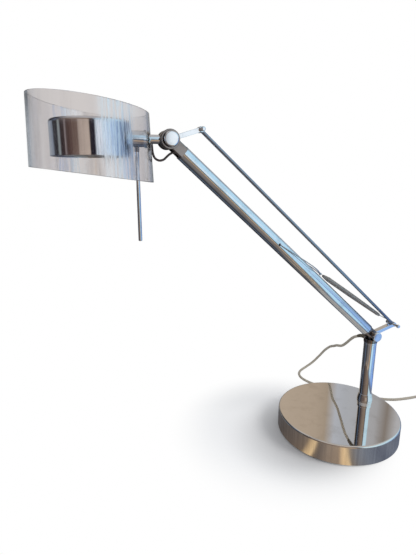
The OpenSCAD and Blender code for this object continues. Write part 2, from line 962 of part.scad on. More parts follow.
module neck_tube() {
    neck_from = high_pivot[0] - core_d / 2 - neck_shoulder;
    color("silver")
        difference() {
            union() {
                translate([0, post_y, neck_z])
                    along_x(neck_d / 2, neck_end + fit, neck_from);
                translate([0, post_y, neck_z])
                    along_x(neck_spigot_d / 2, neck_from - sink,
                            high_pivot[0] - core_d / 2 + neck_spigot_len);
            }
            translate([0, post_y, neck_z])
                along_x(neck_d / 2 - neck_wall, neck_end - over, neck_from - neck_wall);
            translate([cable_exit_x, post_y, neck_z - neck_d])
                cylinder(r = cable_d / 2 + fit, h = neck_d);
            translate([handle_x, post_y, neck_z])
                difference() {
                    along_x(neck_d, -stud_d / 2 - fit, stud_d / 2 + fit);
                    along_x(neck_d / 2 - groove_depth, -stud_d, stud_d);
                }
        }
}

// Head

module head_sleeve() {
    color("lightsteelblue")
        difference() {
            translate([0, post_y, neck_z]) {
                along_x(sleeve_d / 2, drum_side + run, flange_seat);
                along_x(flange_d / 2, flange_seat - sleeve_flange_t, flange_seat);
                along_x(nose_d / 2, flange_seat - sink, wall_out);
                along_x(nipple_d / 2, nipple_in, drum_side + sink);
            }
            translate([0, post_y, neck_z])
                along_x(neck_d / 2 + fit, nipple_in - over, wall_out + over);
            translate([handle_x, post_y, fitting_top - over])
                cylinder(d = stud_d + 2 * fit, h = sleeve_d / 2);
        }
}

module drum() {
    color("slategray")
        difference() {
            translate([head_x, post_y, drum_low])
                rotate_extrude($fn = 128) {
                    translate([drum_in_r, 0])
                        square([drum_wall, drum_h - drum_round]);
                    translate([0, drum_h - drum_wall])
                        square([drum_d / 2 - drum_round, drum_wall]);
                    translate([drum_d / 2 - drum_round, drum_h - drum_round])
                        intersection() {
                            difference() {
                                circle(r = drum_round);
                                circle(r = drum_round - drum_wall);
                            }
                            square(drum_round);
                        }
                }
            translate([head_x, post_y, neck_z])
                along_x(nipple_d / 2 + fit, 0, drum_d);
        }
}

module drum_nut() {
    color("gray")
        translate([0, post_y, neck_z])
            difference() {
                along_x(nut_d / 2, nipple_in, nut_seat);
                along_x(nipple_d / 2 + fit, nipple_in - over, nut_seat + over);
            }
}

module lamp_holder() {
    color("ivory")
        translate([0, post_y, neck_z])
            along_x(holder_d / 2, nipple_in - holder_len, nipple_in);
}

module bulb() {
    tip = nipple_in - holder_len;
    color("aliceblue")
        translate([tip, post_y, neck_z])
            rotate([0, -90, 0])
                rotate_extrude()
                    polygon([
                        [0, 0],
                        [bulb_d * 0.35, 0],
                        [bulb_d * 0.35, bulb_len * 0.1],
                        [bulb_d * 0.5, bulb_len * 0.22],
                        [bulb_d * 0.5, bulb_len * 0.8],
                        [bulb_d * 0.38, bulb_len * 0.92],
                        [bulb_d * 0.12, bulb_len],
                        [0, bulb_len]
                    ]);
}

// Dish over the bulb, with a notch for the lamp holder
module reflector() {
    r = drum_in_r - soft;
    rise = reflector_top - reflector_low;
    color("gainsboro")
        difference() {
            translate([head_x, post_y, reflector_low])
                rotate_extrude($fn = 96)
                    polygon([
                        [r, 0],
                        [r * reflector_mid_share, rise * 0.75],
                        [r * reflector_high_share, rise],
                        [0, rise],
                        [0, rise - reflector_t],
                        [r * reflector_high_share - reflector_t, rise - reflector_t],
                        [r * reflector_mid_share - reflector_t, rise * 0.75 - reflector_t],
                        [r - 2 * reflector_t, 0]
                    ]);
            translate([head_x, post_y, neck_z])
                along_x(max(nut_d, holder_d) / 2 + run, 0, drum_d);
        }
}

module lens_glass() {
    color("whitesmoke")
        translate([head_x, post_y, lens_low])
            cylinder(r = lens_r, h = lens_t, $fn = 96);
}

module lens_ring() {
    color("silver")
        translate([head_x, post_y, lens_low - lens_ring_t])
            difference() {
                cylinder(r = drum_in_r - fit, h = lens_ring_t, $fn = 96);
                translate([0, 0, -over])
                    cylinder(r = drum_in_r - lens_ring_w, h = lens_ring_t + 2 * over, $fn = 96);
            }
}

// Clear tube that widens a little downward, both edges cut at a slope
module shade() {
    reach_low = shade_drop + shade_r * tan(rim_slope) + over;
    reach_high = shade_h - shade_drop + shade_r * tan(rim_slope) + over;
    r_low = shade_r + reach_low * shade_flare_share;
    r_high = shade_r - reach_high * shade_flare_share;
    far_off = 4 * shade_r;
    color("lightgray", 0.5)
        translate(head_at)
            difference() {
                translate([0, 0, -reach_low])
                    cylinder(r1 = r_low, r2 = r_high, h = reach_low + reach_high, $fn = 128);
                translate([0, 0, -reach_low])
                    cylinder(r1 = r_low - shade_wall, r2 = r_high - shade_wall,
                             h = reach_low + reach_high, $fn = 128);
                translate([0, 0, -shade_drop])
                    rotate([0, rim_slope, 0])
                        translate([-far_off / 2, -far_off / 2, -far_off])
                            cube(far_off);
                translate([0, 0, shade_h - shade_drop])
                    rotate([0, rim_slope, 0])
                        translate([-far_off / 2, -far_off / 2, 0])
                            cube(far_off);
                along_x(nose_d / 2 + run, 0, 2 * shade_r);
            }
}

module handle_fitting() {
    stud_top = neck_z - neck_d / 2 + groove_depth - run;
    color("gray")
        translate([handle_x, post_y, fitting_low]) {
            cylinder(d = fitting_d, h = fitting_len - run);
            cylinder(d = stud_d, h = stud_top - fitting_low);
        }
}

module handle_rod() {
    color("silver")
        translate([handle_x, post_y, fitting_low - handle_len])
            rotate_extrude()
                polygon([
                    [0, 0],
                    [handle_d * 0.3, 0],
                    [handle_d / 2, handle_d * 0.2],
                    [handle_d / 2, handle_len],
                    [0, handle_len]
                ]);
}

// Cords

cable_end = [arm_len - high_reach, 0, -cable_drop];
function from_arm(p) = low_pivot + [
    -p[0] * cos(arm_rise) + p[2] * sin(arm_rise), -p[1], p[0] * sin(arm_rise) + p[2] * cos(arm_rise)
];
cable_points = concat(
    [cable_exit],
    [for (p = cable_fall) cable_exit + [p[0], 0, p[1]]],
    [for (p = cable_loop) high_pivot + [p[0], 0, p[1]]],
    [from_arm(cable_end + [2 * cable_d, 0, 0]), from_arm(cable_end)]
);

module head_cable() {
    color("dimgray")
        swept(smooth(cable_points, 1.5 * cable_d), cable_d / 2, thin_sides, [0, 1, 0]);
}

// Tapered relief that droops with the cord, its neck in the swivel's collar
module cord_relief() {
    tip_r = cord_d / 2 + relief_tip_w;
    color("dimgray") {
        translate([post_x, 0, relief_z]) {
            across(relief_neck_d / 2, post_y + relief_in, relief_start + sink);
            across(relief_flange_d / 2, relief_start, relief_root);
        }
        swept(concat([relief_at(0) - [0, sink, 0]],
                     [for (i = [0 : relief_steps]) relief_at(i / relief_steps)],
                     [cord_exit]),
              concat([relief_root_d / 2],
                     [for (i = [0 : relief_steps])
                         relief_root_d / 2 + (tip_r - relief_root_d / 2) * i / relief_steps],
                     [tip_r]),
              cord_sides, [1, 0, 0]);
    }
}

cord_points = concat(
    [for (k = [0 : 2]) cord_exit + k * cord_d * cord_exit_dir],
    cord_route,
    [coil_start - [2 * cord_d, 0, 0], coil_start - [cord_d, 0, 0]]
);

module mains_cord() {
    color("gray")
        swept(smooth(cord_points, 2.6 * cord_d), cord_d / 2, cord_sides, [1, 0, 0]);
}

// Flat spiral in, a climb in the half turn where it reverses, and a spiral out on top
turns_each = 2.75;
climb_turns = 0.5;
all_turns = 2 * turns_each + climb_turns;
coil_in_r = coil_r - turns_each * coil_pitch;

function coil_radius(turn) =
    turn < turns_each ? coil_r - turn * coil_pitch
    : turn < turns_each + climb_turns ? coil_in_r
    : coil_in_r + (turn - turns_each - climb_turns) * coil_pitch;

function coil_height(turn) = layer_pitch * min(1, max(0, (turn - turns_each) / climb_turns));

coil_path = concat(
    [coil_start - [cord_d, 0, 0]],
    [for (k = [0 : all_turns * loop_rings])
        let (turn = k / loop_rings, a = 90 - 360 * turn, r = coil_radius(turn))
            coil_at + [r * cos(a), r * sin(a), coil_height(turn)]],
    [
        coil_start + [cord_d, 0, layer_pitch],
        coil_start + [coil_run_out - cord_d, 0, plug_axis - cord_d / 2],
        coil_start + [coil_run_out, 0, plug_axis - cord_d / 2]
    ]
);
echo(coil_gap = least_gap(coil_path, cord_d, loop_rings / 2));

module cord_coil() {
    color("gray")
        swept(coil_path, cord_d / 2, form_sides, [0, 0, 1]);
}

plug_at = coil_start + [coil_run_out, 0, plug_axis - cord_d / 2];
plug_neck = 10;
plug_round = 2;
plug_start_w = 2 * cord_d;
plug_neck_w = 12;
plug_pin_d = 4;
plug_pin_len = 19;
plug_pin_gap = 18.6;

// Flat two-pin plug that lies on the table behind the coil
module plug_body() {
    color("dimgray")
        translate(plug_at - [0, 0, plug_t / 2])
            linear_extrude(height = plug_t)
                offset(r = plug_round)
                    offset(delta = -plug_round)
                        polygon([
                            [0, -plug_start_w / 2],
                            [plug_neck, -plug_neck_w / 2],
                            [plug_neck + plug_body_len * 0.45, -plug_w / 2],
                            [plug_neck + plug_body_len, -plug_w / 2],
                            [plug_neck + plug_body_len, plug_w / 2],
                            [plug_neck + plug_body_len * 0.45, plug_w / 2],
                            [plug_neck, plug_neck_w / 2],
                            [0, plug_start_w / 2]
                        ]);
}

module plug_pins() {
    color("silver")
        translate(plug_at + [plug_neck + plug_body_len, 0, 0])
            for (side = [-1, 1])
                translate([0, side * plug_pin_gap / 2, 0])
                    along_x(plug_pin_d / 2, 0, plug_pin_len);
}

foot_pad();
base_cover();
base_weight();
bolt_washer();
base_bolt();
post_plug();
ferrule();
post();
post_bush();
swivel_block();
swivel_clip();
lower_bolt();
lower_lever();
lower_pin();
lower_knob();
arm_fork_low();
arm_tube();
arm_fork_high();
arm_cable();
parallel_rod();
yoke();
spring();
upper_bolt();
cap_near();
cap_far();
upper_knob();
hinge_hub();
lever_near();
lever_far();
upper_pin();
neck_tube();
head_sleeve();
drum();
drum_nut();
lamp_holder();
bulb();
reflector();
lens_glass();
lens_ring();
shade();
handle_fitting();
handle_rod();
head_cable();
cord_relief();
mains_cord();
cord_coil();
plug_body();
plug_pins();
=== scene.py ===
import json
from math import asin, atan2, copysign, cos, degrees, radians, remainder, sin, tan, tau

import bmesh
import bpy
from mathutils import Matrix, Vector


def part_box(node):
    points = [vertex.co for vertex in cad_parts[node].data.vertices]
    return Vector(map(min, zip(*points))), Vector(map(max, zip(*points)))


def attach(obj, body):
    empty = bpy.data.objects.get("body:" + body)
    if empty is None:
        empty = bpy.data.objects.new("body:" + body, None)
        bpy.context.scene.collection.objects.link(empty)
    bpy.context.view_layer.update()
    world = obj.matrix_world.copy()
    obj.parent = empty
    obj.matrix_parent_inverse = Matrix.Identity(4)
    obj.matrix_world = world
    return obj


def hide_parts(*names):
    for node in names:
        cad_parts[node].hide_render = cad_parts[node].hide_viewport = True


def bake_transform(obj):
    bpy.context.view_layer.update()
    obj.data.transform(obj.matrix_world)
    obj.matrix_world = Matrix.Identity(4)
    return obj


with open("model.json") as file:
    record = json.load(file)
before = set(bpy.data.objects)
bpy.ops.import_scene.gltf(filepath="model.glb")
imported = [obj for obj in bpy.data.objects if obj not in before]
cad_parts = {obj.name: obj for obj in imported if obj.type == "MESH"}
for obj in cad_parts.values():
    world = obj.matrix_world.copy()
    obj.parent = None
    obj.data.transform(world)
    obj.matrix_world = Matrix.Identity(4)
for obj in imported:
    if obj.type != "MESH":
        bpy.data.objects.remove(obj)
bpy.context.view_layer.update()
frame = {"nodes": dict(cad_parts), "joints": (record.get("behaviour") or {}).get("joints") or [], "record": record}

# An architect lamp: disc base, post, sprung parallel arm, drum head in a clear shade, and its cords.
# Lengths are metres, but fillets of turned outlines and depths of grain are mm. Places come from the frame's
# nodes and joints.

MM = 0.001
FIT = 0.05 * MM
RUN = 0.2 * MM
SOFT = 0.3 * MM
EDGE = 0.3 * MM
FILLET_STEPS = 4
SHARP_ANGLE = radians(50)
CAD_SHARP_ANGLE = radians(25)

X, Y, Z = Vector((1, 0, 0)), Vector((0, 1, 0)), Vector((0, 0, 1))
NEAR = -Y

pivot = {joint["name"]: Vector(joint["pos_m"]) for joint in frame["joints"]}
LOW, HIGH = pivot["arm_lift"], pivot["hub_level"]
LEVER = pivot["rod_turn"] - LOW
LOW_PIN, HIGH_PIN = LOW + LEVER, HIGH + LEVER
ARM_DIR = (HIGH - LOW).normalized()
ARM_UP = ARM_DIR.cross(NEAR)
ARM_LEN = (HIGH - LOW).length


def low(node):
    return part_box(node)[0]


def high(node):
    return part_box(node)[1]


def middle(node):
    return (low(node) + high(node)) / 2


def size(node):
    return high(node) - low(node)


def in_arm(along, across, up):
    """Point by its distances from the lower pivot: along the arm, to the near side and up from the arm."""
    return LOW + ARM_DIR * along + NEAR * across + ARM_UP * up


# Shapes

def cleaned(mesh):
    """The mesh with its doubled points joined and its faces turned outward."""
    work = bmesh.new()
    work.from_mesh(mesh)
    bmesh.ops.remove_doubles(work, verts=work.verts, dist=0.001 * MM)
    bmesh.ops.recalc_face_normals(work, faces=work.faces)
    work.to_mesh(mesh)
    work.free()
    return mesh


def shape(points, faces):
    mesh = bpy.data.meshes.new("shape")
    mesh.from_pydata([tuple(p) for p in points], [], faces)
    return cleaned(mesh)


def circle(steps):
    """Cosine and sine of each step of a full turn."""
    return [(cos(tau * k / steps), sin(tau * k / steps)) for k in range(steps)]


def squared(value, power):
    """A cosine or sine bent towards a rounded square's."""
    return copysign(abs(value) ** power, value)


def loft(rings, capped=True):
    """Skin through rings of as many points each. Where it isn't capped, the last ring joins the first."""
    steps, count = len(rings[0]), len(rings)
    faces = []
    for i in range(count - 1 if capped else count):
        here, there = i * steps, (i + 1) % count * steps
        for k in range(steps):
            n = (k + 1) % steps
            faces.append([here + k, here + n, there + n, there + k])
    if capped:
        faces += [list(range(steps)), list(range((count - 1) * steps, count * steps))]
    return shape([p for ring in rings for p in ring], faces)


def rounded(corners, closed):
    """Outline through the corners (across, along, fillet radius in mm), with each fillet as an arc."""
    count = len(corners)
    outline = []
    for i, (across, along, fillet) in enumerate(corners):
        corner = Vector((across, along))
        if fillet == 0 or (not closed and i in (0, count - 1)):
            outline.append(corner)
            continue
        before = Vector(corners[i - 1][:2]) - corner
        after = Vector(corners[(i + 1) % count][:2]) - corner
        half = before.angle(after) / 2
        reach = min(fillet * MM / tan(half), before.length * 0.49, after.length * 0.49)
        radius = reach * tan(half)
        centre = corner + (before.normalized() + after.normalized()).normalized() * radius / sin(half)
        first = corner + before.normalized() * reach - centre
        last = corner + after.normalized() * reach - centre
        start = atan2(first.y, first.x)
        turn = remainder(atan2(last.y, last.x) - start, tau)
        for k in range(FILLET_STEPS + 1):
            a = start + turn * k / FILLET_STEPS
            outline.append(centre + Vector((cos(a), sin(a))) * radius)
    return outline


def rod(radius, start, end, start_fillet=0, end_fillet=0):
    """Outline of a plain solid rod."""
    return [(radius, start, start_fillet), (radius, end, end_fillet)]


def bush(inner, outer, start, end, inner_fillet, outer_fillet):
    """Outline of a ring with a plain bore."""
    return [(inner, start, inner_fillet), (outer, start, outer_fillet), (outer, end, outer_fillet),
            (inner, end, inner_fillet)]


def turning(corners, origin, axis=Z, steps=96, form="solid"):
    """Turned shape from corners (radius, height, fillet in mm). A solid starts and ends on the axis, a ring's
    outline closes on itself, and an open one does neither."""
    if form == "solid":
        corners = [(0, corners[0][1], 0), *corners, (0, corners[-1][1], 0)]
    place = Matrix.Translation(origin) @ axis.to_track_quat("Z", "Y").to_matrix().to_4x4()
    points, rows, faces = [], [], []
    for p in rounded(corners, form == "ring"):
        turns = circle(steps) if p.x > 0 else [(0, 0)]
        rows.append(range(len(points), len(points) + len(turns)))
        points += [place @ Vector((p.x * c, p.x * s, p.y)) for c, s in turns]
    for one, two in zip(rows, rows[1:] + rows[:form == "ring"]):
        for k in range(steps):
            n = (k + 1) % steps
            face = [one[k % len(one)], one[n % len(one)], two[n % len(two)], two[k % len(two)]]
            face = list(dict.fromkeys(face))
            if len(face) > 2:
                faces.append(face)
    return shape(points, faces)


def plate(outline, holes, thick, place, edge=EDGE):
    """Flat plate with softened edges, centred on its own XY plane and then placed."""
    curve = bpy.data.curves.new("plate", "CURVE")
    curve.dimensions = "2D"
    curve.fill_mode = "BOTH"
    curve.extrude = thick / 2 - edge
    curve.bevel_depth = edge
    curve.bevel_resolution = 2
    curve.offset = -edge
    for loop in [outline, *holes]:
        spline = curve.splines.new("POLY")
        spline.points.add(len(loop) - 1)
        spline.use_cyclic_u = True
        for point, p in zip(spline.points, loop):
            point.co = (p[0], p[1], 0, 1)
    holder = bpy.data.objects.new("plate", curve)
    mesh = bpy.data.meshes.new_from_object(holder)
    bpy.data.objects.remove(holder)
    mesh.transform(place)
    return cleaned(mesh)


def arc(centre, radius, start, end, steps):
    """Points on an arc, with its angles in degrees."""
    angles = [radians(start + (end - start) * k / steps) for k in range(steps + 1)]
    return [(centre[0] + radius * cos(a), centre[1] + radius * sin(a)) for a in angles]


def hole(centre, radius):
    return arc(centre, radius, 0, 345, 23)


def tube(path, radius, sides, first):
    """Round tube along a path, closed at both ends. First is the side on which its rings start."""
    side = first
    rings = []
    for before, here, after in zip([path[0], *path], path, [*path[1:], path[-1]]):
        heading = (after - before).normalized()
        side = (side - heading * side.dot(heading)).normalized()
        other = heading.cross(side)
        rings.append([here + (side * c + other * s) * radius for c, s in circle(sides)])
    return loft(rings)


def smooth_path(route, step):
    """Smooth curve through the points of a route, with a point about every step."""
    path = []
    for i in range(len(route) - 1):
        b, c = route[i], route[i + 1]
        a = route[i - 1] if i > 0 else 2 * b - c
        d = route[i + 2] if i + 2 < len(route) else 2 * c - b
        count = max(1, round((c - b).length / step))
        for k in range(count):
            t = k / count
            path.append(0.5 * (2 * b + (c - a) * t + (2 * a - 5 * b + 4 * c - d) * t ** 2
                               + (3 * b - a - 3 * c + d) * t ** 3))
    return path + [route[-1]]


def put(name, data):
    """New object in the scene."""
    made = bpy.data.objects.new(name, data)
    bpy.context.scene.collection.objects.link(made)
    return made


def drilled(shell, drill):
    """The shell with the drill's shape cut out."""
    body, cutter = put("shell", shell), put("drill", drill)
    cut = body.modifiers.new("cut", "BOOLEAN")
    cut.operation = "DIFFERENCE"
    cut.object = cutter
    cut.solver = "EXACT"
    mesh = bpy.data.meshes.new_from_object(body.evaluated_get(bpy.context.evaluated_depsgraph_get()))
    for o in (body, cutter):
        bpy.data.objects.remove(o)
    return mesh


def piece(name, body, slot, shapes, *stands_for, soft_edges=True, finish=None):
    """Joins the shapes into one piece that rides on the body and has the slot's finish, or its own."""
    work = bmesh.new()
    for mesh in shapes:
        work.from_mesh(mesh)
    mesh = bpy.data.meshes.new(name)
    work.to_mesh(mesh)
    work.free()
    mesh.shade_smooth()
    mesh.set_sharp_from_angle(angle=SHARP_ANGLE)
    mesh.materials.append(finishes[finish or slot])
    made = put(name, mesh)
    if soft_edges:
        made.modifiers.new("weighted normals", "WEIGHTED_NORMAL").keep_sharp = True
    if body:
        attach(made, body)
    if stands_for:
        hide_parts(*stands_for)
    return made


def turned(name, body, slot, node, *outline_and_place):
    """Piece of one turned shape that stands for one node."""
    return piece(name, body, slot, [turning(*outline_and_place)], node)


# Shader groups that more than one finish uses

def tone(red, green, blue):
    """Linear colour of a colour given as it looks, from 0 to 255."""
    def linear(v):
        v = v / 255
        return v / 12.92 if v <= 0.04045 else ((v + 0.055) / 1.055) ** 2.4
    return (linear(red), linear(green), linear(blue), 1)


class Graph:
    """A node tree with short calls for nodes and links."""

    def __init__(self, tree):
        self.tree = tree

    def feed(self, socket, value):
        if isinstance(value, bpy.types.NodeSocket):
            self.tree.links.new(value, socket)
        else:
            socket.default_value = value

    def add(self, kind, *values, **settings):
        """New node with these settings, and its first inputs fed in their order."""
        node = self.tree.nodes.new("ShaderNode" + kind)
        for key, value in settings.items():
            setattr(node, key, value)
        for socket, value in zip(node.inputs, values):
            self.feed(socket, value)
        return node

    def give(self, node, **values):
        """Feeds the node's inputs by name, where _ stands for a space."""
        for key, value in values.items():
            self.feed(node.inputs[key.replace("_", " ")], value)
        return node

    def math(self, operation, *values, clamp=False):
        return self.add("Math", *values, operation=operation, use_clamp=clamp).outputs[0]

    def vector(self, operation, *values):
        node = self.add("VectorMath", *values, operation=operation)
        return node.outputs["Value" if operation == "LENGTH" else "Vector"]

    def scaled(self, colour, factor):
        return self.give(self.add("VectorMath", colour, operation="SCALE"), Scale=factor).outputs["Vector"]

    def split(self, vector):
        return self.add("SeparateXYZ", vector).outputs

    def span(self, value, from_low, from_high, to_low=0, to_high=1):
        return self.add("MapRange", value, from_low, from_high, to_low, to_high,
                        interpolation_type="SMOOTHSTEP").outputs["Result"]

    def mix(self, factor, one, two):
        return self.give(self.add("Mix", data_type="RGBA"), Factor=factor, A=one, B=two).outputs["Result"]

    def noise(self, place, scale, detail, rough, dimensions="3D"):
        node = self.add("TexNoise", noise_dimensions=dimensions)
        self.feed(node.inputs["W" if dimensions == "1D" else "Vector"], place)
        return self.give(node, Scale=scale, Detail=detail, Roughness=rough).outputs["Fac"]

    def stretched(self, vector, scale, turn=(0, 0, 0)):
        return self.give(self.add("Mapping"), Vector=vector, Rotation=turn, Scale=scale).outputs["Vector"]

    def ramp(self, factor, stops):
        node = self.add("ValToRGB", factor)
        elements = node.color_ramp.elements
        elements.remove(elements[-1])
        elements[0].position, elements[0].color = stops[0]
        for place, colour in stops[1:]:
            elements.new(place).color = colour
        return node.outputs["Color"]

    def group(self, group, **values):
        return self.give(self.add("Group", node_tree=group), **values).outputs


def shader_group(name, inputs, outputs):
    """Empty group with its inputs and outputs as {name: type}."""
    group = bpy.data.node_groups.new(name, "ShaderNodeTree")
    for in_out, sockets in (("INPUT", inputs), ("OUTPUT", outputs)):
        for key, kind in sockets.items():
            group.interface.new_socket(key, in_out=in_out, socket_type="NodeSocket" + kind)
    given, out = group.nodes.new("NodeGroupInput"), group.nodes.new("NodeGroupOutput")
    return group, Graph(group), given.outputs, out.inputs


def make_handling():
    """Smudges from hands and fine hairline scratches: a roughness mask and a height."""
    group, g, given, out = shader_group(
        "handling", {"Vector": "Vector", "Smudges": "Float", "Scratches": "Float"},
        {"Mask": "Float", "Height": "Float"})
    smudge = g.span(g.noise(given["Vector"], 38, 4, 0.6), 0.48, 0.72)
    lines = []
    for turn in ((0.3, 0.5, 0.9), (1.2, 0.2, 2.1)):
        drawn_out = g.stretched(given["Vector"], (900, 900, 22), turn)
        lines.append(g.span(g.noise(drawn_out, 1, 1, 0.4), 0.7, 0.78))
    hairline = g.math("MAXIMUM", *lines)
    smudged = g.math("MULTIPLY", smudge, given["Smudges"])
    scratched = g.math("MULTIPLY", hairline, given["Scratches"])
    g.feed(out["Mask"], g.math("ADD", smudged, scratched, clamp=True))
    g.feed(out["Height"], g.math("MULTIPLY", hairline, -1.0))
    return group


def make_grain():
    """Moulded or woven surface grain: a fine mottle and a height."""
    group, g, given, out = shader_group(
        "grain", {"Vector": "Vector", "Scale": "Float", "Colour": "Color", "Variation": "Float"},
        {"Color": "Color", "Height": "Float"})
    fine = g.noise(given["Vector"], given["Scale"], 3, 0.6)
    broad = g.noise(given["Vector"], 60, 3, 0.5)
    mottle = g.math("ADD", g.math("MULTIPLY", fine, 0.6), g.math("MULTIPLY", broad, 0.4))
    shade = g.span(mottle, 0.3, 0.7, -1, 1)
    light = g.math("ADD", 1.0, g.math("MULTIPLY", shade, given["Variation"]))
    g.feed(out["Color"], g.scaled(given["Colour"], light))
    g.feed(out["Height"], fine)
    return group


def heading_of(g, vector):
    """Heading of a vector as a share of the full turn from +Y towards +X, and its height."""
    parts = g.split(vector)
    turn = g.math("ARCTAN2", parts["X"], parts["Y"])
    return g.math("FRACT", g.math("DIVIDE", turn, tau)), parts["Z"]


def by_heading(g, heading, tones):
    """Colour by heading, from rows of (degrees, red, green, blue)."""
    return g.ramp(heading, [(turn / 360, tone(*colour)) for turn, *colour in tones])


def make_room():
    """Soft tones of the studio round the lamp, by direction, as polished metal and acrylic show them."""
    group, g, given, out = shader_group("room tones", {"Direction": "Vector"}, {"Color": "Color"})
    heading, height = heading_of(g, g.vector("NORMALIZE", given["Direction"]))
    sides, upper = by_heading(g, heading, ROOM_SIDES), by_heading(g, heading, ROOM_UPPER)
    walls = g.mix(g.span(height, 0.1, 0.22), sides, upper)
    whole = g.mix(g.span(height, 0.6, 0.85), walls, tone(*CEILING))
    streaked = g.math("ADD", 0.86, g.math("MULTIPLY", g.noise(heading, 60, 2, 0.5, "1D"), 0.28))
    g.feed(out["Color"], g.scaled(whole, streaked))
    return group


# Tones of the room by heading in degrees: 0 is behind the lamp, 90 to its right, 180 in front of it
ROOM_SIDES = [
    (0, 176, 180, 184), (30, 150, 154, 160), (56, 120, 130, 155), (76, 70, 80, 108), (95, 120, 142, 178),
    (120, 158, 188, 228), (126, 196, 220, 246), (131, 208, 234, 253), (140, 216, 236, 253),
    (152, 246, 250, 254), (168, 240, 248, 254), (172, 40, 36, 46), (184, 42, 38, 44), (187, 196, 180, 166),
    (214, 184, 168, 156), (218, 112, 92, 84), (236, 92, 72, 66), (250, 74, 58, 56), (256, 150, 140, 140),
    (258, 58, 48, 50), (270, 46, 40, 44), (275, 150, 158, 158), (280, 140, 148, 146), (284, 34, 34, 38),
    (300, 40, 42, 48), (306, 130, 142, 156), (335, 170, 176, 182), (359, 176, 180, 184)
]
ROOM_UPPER = [
    (0, 140, 132, 124), (14, 180, 169, 157), (33, 180, 167, 153), (35, 180, 167, 153), (35.2, 162, 150, 136),
    (36.1, 162, 150, 136), (36.35, 178, 185, 198), (38.5, 172, 178, 188), (42.8, 166, 168, 174),
    (43.05, 134, 127, 122), (43.8, 134, 127, 122), (44, 184, 205, 228), (44.45, 180, 200, 222),
    (44.8, 176, 179, 186), (60, 180, 184, 192), (95, 196, 232, 252), (165, 204, 234, 252), (176, 84, 80, 88),
    (186, 120, 106, 96), (190, 150, 134, 120), (196, 146, 130, 116), (230, 132, 118, 108), (262, 92, 82, 80),
    (285, 50, 52, 60), (297, 96, 112, 136), (308, 38, 40, 48), (340, 32, 32, 36), (352, 110, 104, 98),
    (359, 138, 130, 122)
]
CEILING = (184, 182, 182)
# Tones of the table as polished sides show them, by heading from the lamp's foot: near the base, and beyond
TABLE_NEAR = [
    (0, 96, 104, 118), (60, 110, 122, 142), (130, 92, 102, 124), (150, 108, 118, 138), (165, 90, 100, 122),
    (182, 114, 124, 142), (193, 118, 122, 132), (200, 132, 122, 112), (203, 238, 210, 166),
    (208, 226, 196, 154), (212, 160, 142, 124), (224, 140, 126, 114), (232, 108, 98, 92), (236, 122, 108, 94),
    (239, 236, 208, 164), (244, 206, 180, 142), (249, 120, 106, 94), (262, 104, 94, 88), (285, 84, 78, 76),
    (359, 92, 98, 110)
]
TABLE_BEYOND = [
    (0, 30, 31, 36), (50, 60, 72, 92), (84, 96, 134, 200), (110, 128, 168, 230), (130, 146, 186, 240),
    (134.5, 150, 188, 242), (136, 58, 66, 100), (138, 58, 66, 100), (139.5, 172, 210, 248),
    (150, 192, 232, 252), (168, 198, 234, 252), (176, 70, 66, 74), (184, 112, 98, 88), (191, 232, 196, 148),
    (197, 132, 112, 96), (215, 120, 106, 98), (240, 110, 104, 102), (258, 62, 56, 56), (268, 28, 28, 32),
    (286, 22, 24, 32), (297, 90, 108, 134), (306, 34, 38, 48), (330, 20, 21, 27), (359, 28, 29, 34)
]
# Painted reflection of a window on the clear shade: strength of its upright streaks by heading round its axis,
# from 0 to 255
PAINTED_WINDOW_STREAKS = [
    (0, 200), (16, 200), (19, 0), (139, 80), (144, 255), (171, 255), (177, 40), (194, 40), (198, 110),
    (208, 110), (211, 40), (214, 90), (222, 90), (225, 40), (229, 130), (235, 130), (240, 90), (254, 120),
    (258, 0), (320, 0), (323, 255), (347, 255), (352, 160), (359, 200)
]

handling = make_handling()
grain = make_grain()
room = make_room()


# Finishes, one for each of the record's material slots, and one for the rod: a darker copy of chrome that paints
# shade on the parallel rod

def with_nodes(made):
    """A new material or world, and its graph."""
    made.use_nodes = True
    return made, Graph(made.node_tree)


def new_finish(name):
    material, g = with_nodes(bpy.data.materials.new(name))
    return material, g, g.tree.nodes["Principled BSDF"], g.add("TexCoord").outputs["Object"]


def bump(g, height, strength, distance):
    return g.give(g.add("Bump"), Height=height, Strength=strength, Distance=distance).outputs["Normal"]


def plated(name, colour, rough, smudges, scratches, worn_rough=0.3):
    """Polished metal with smudges and hairlines in its gloss."""
    material, g, surface, where = new_finish(name)
    marks = g.group(handling, Vector=where, Smudges=smudges, Scratches=scratches)
    dulled = [c * 0.86 for c in colour]
    g.give(surface, Metallic=1, Base_Color=g.mix(marks["Mask"], tone(*colour), tone(*dulled)),
           Roughness=g.span(marks["Mask"], 0, 1, rough, worn_rough),
           Normal=bump(g, marks["Height"], 0.15, 0.02 * MM))
    return material


def moulded(name, colour, rough, scale, variation, depth, strength=0.5):
    """Plastic, rubber, ceramic or cloth with its own grain."""
    material, g, surface, where = new_finish(name)
    skin = g.group(grain, Vector=where, Scale=scale, Colour=tone(*colour), Variation=variation)
    g.give(surface, Base_Color=skin["Color"],
           Roughness=g.span(skin["Height"], 0.3, 0.7, rough - 0.08, rough + 0.08),
           Normal=bump(g, skin["Height"], strength, depth * MM))
    return material


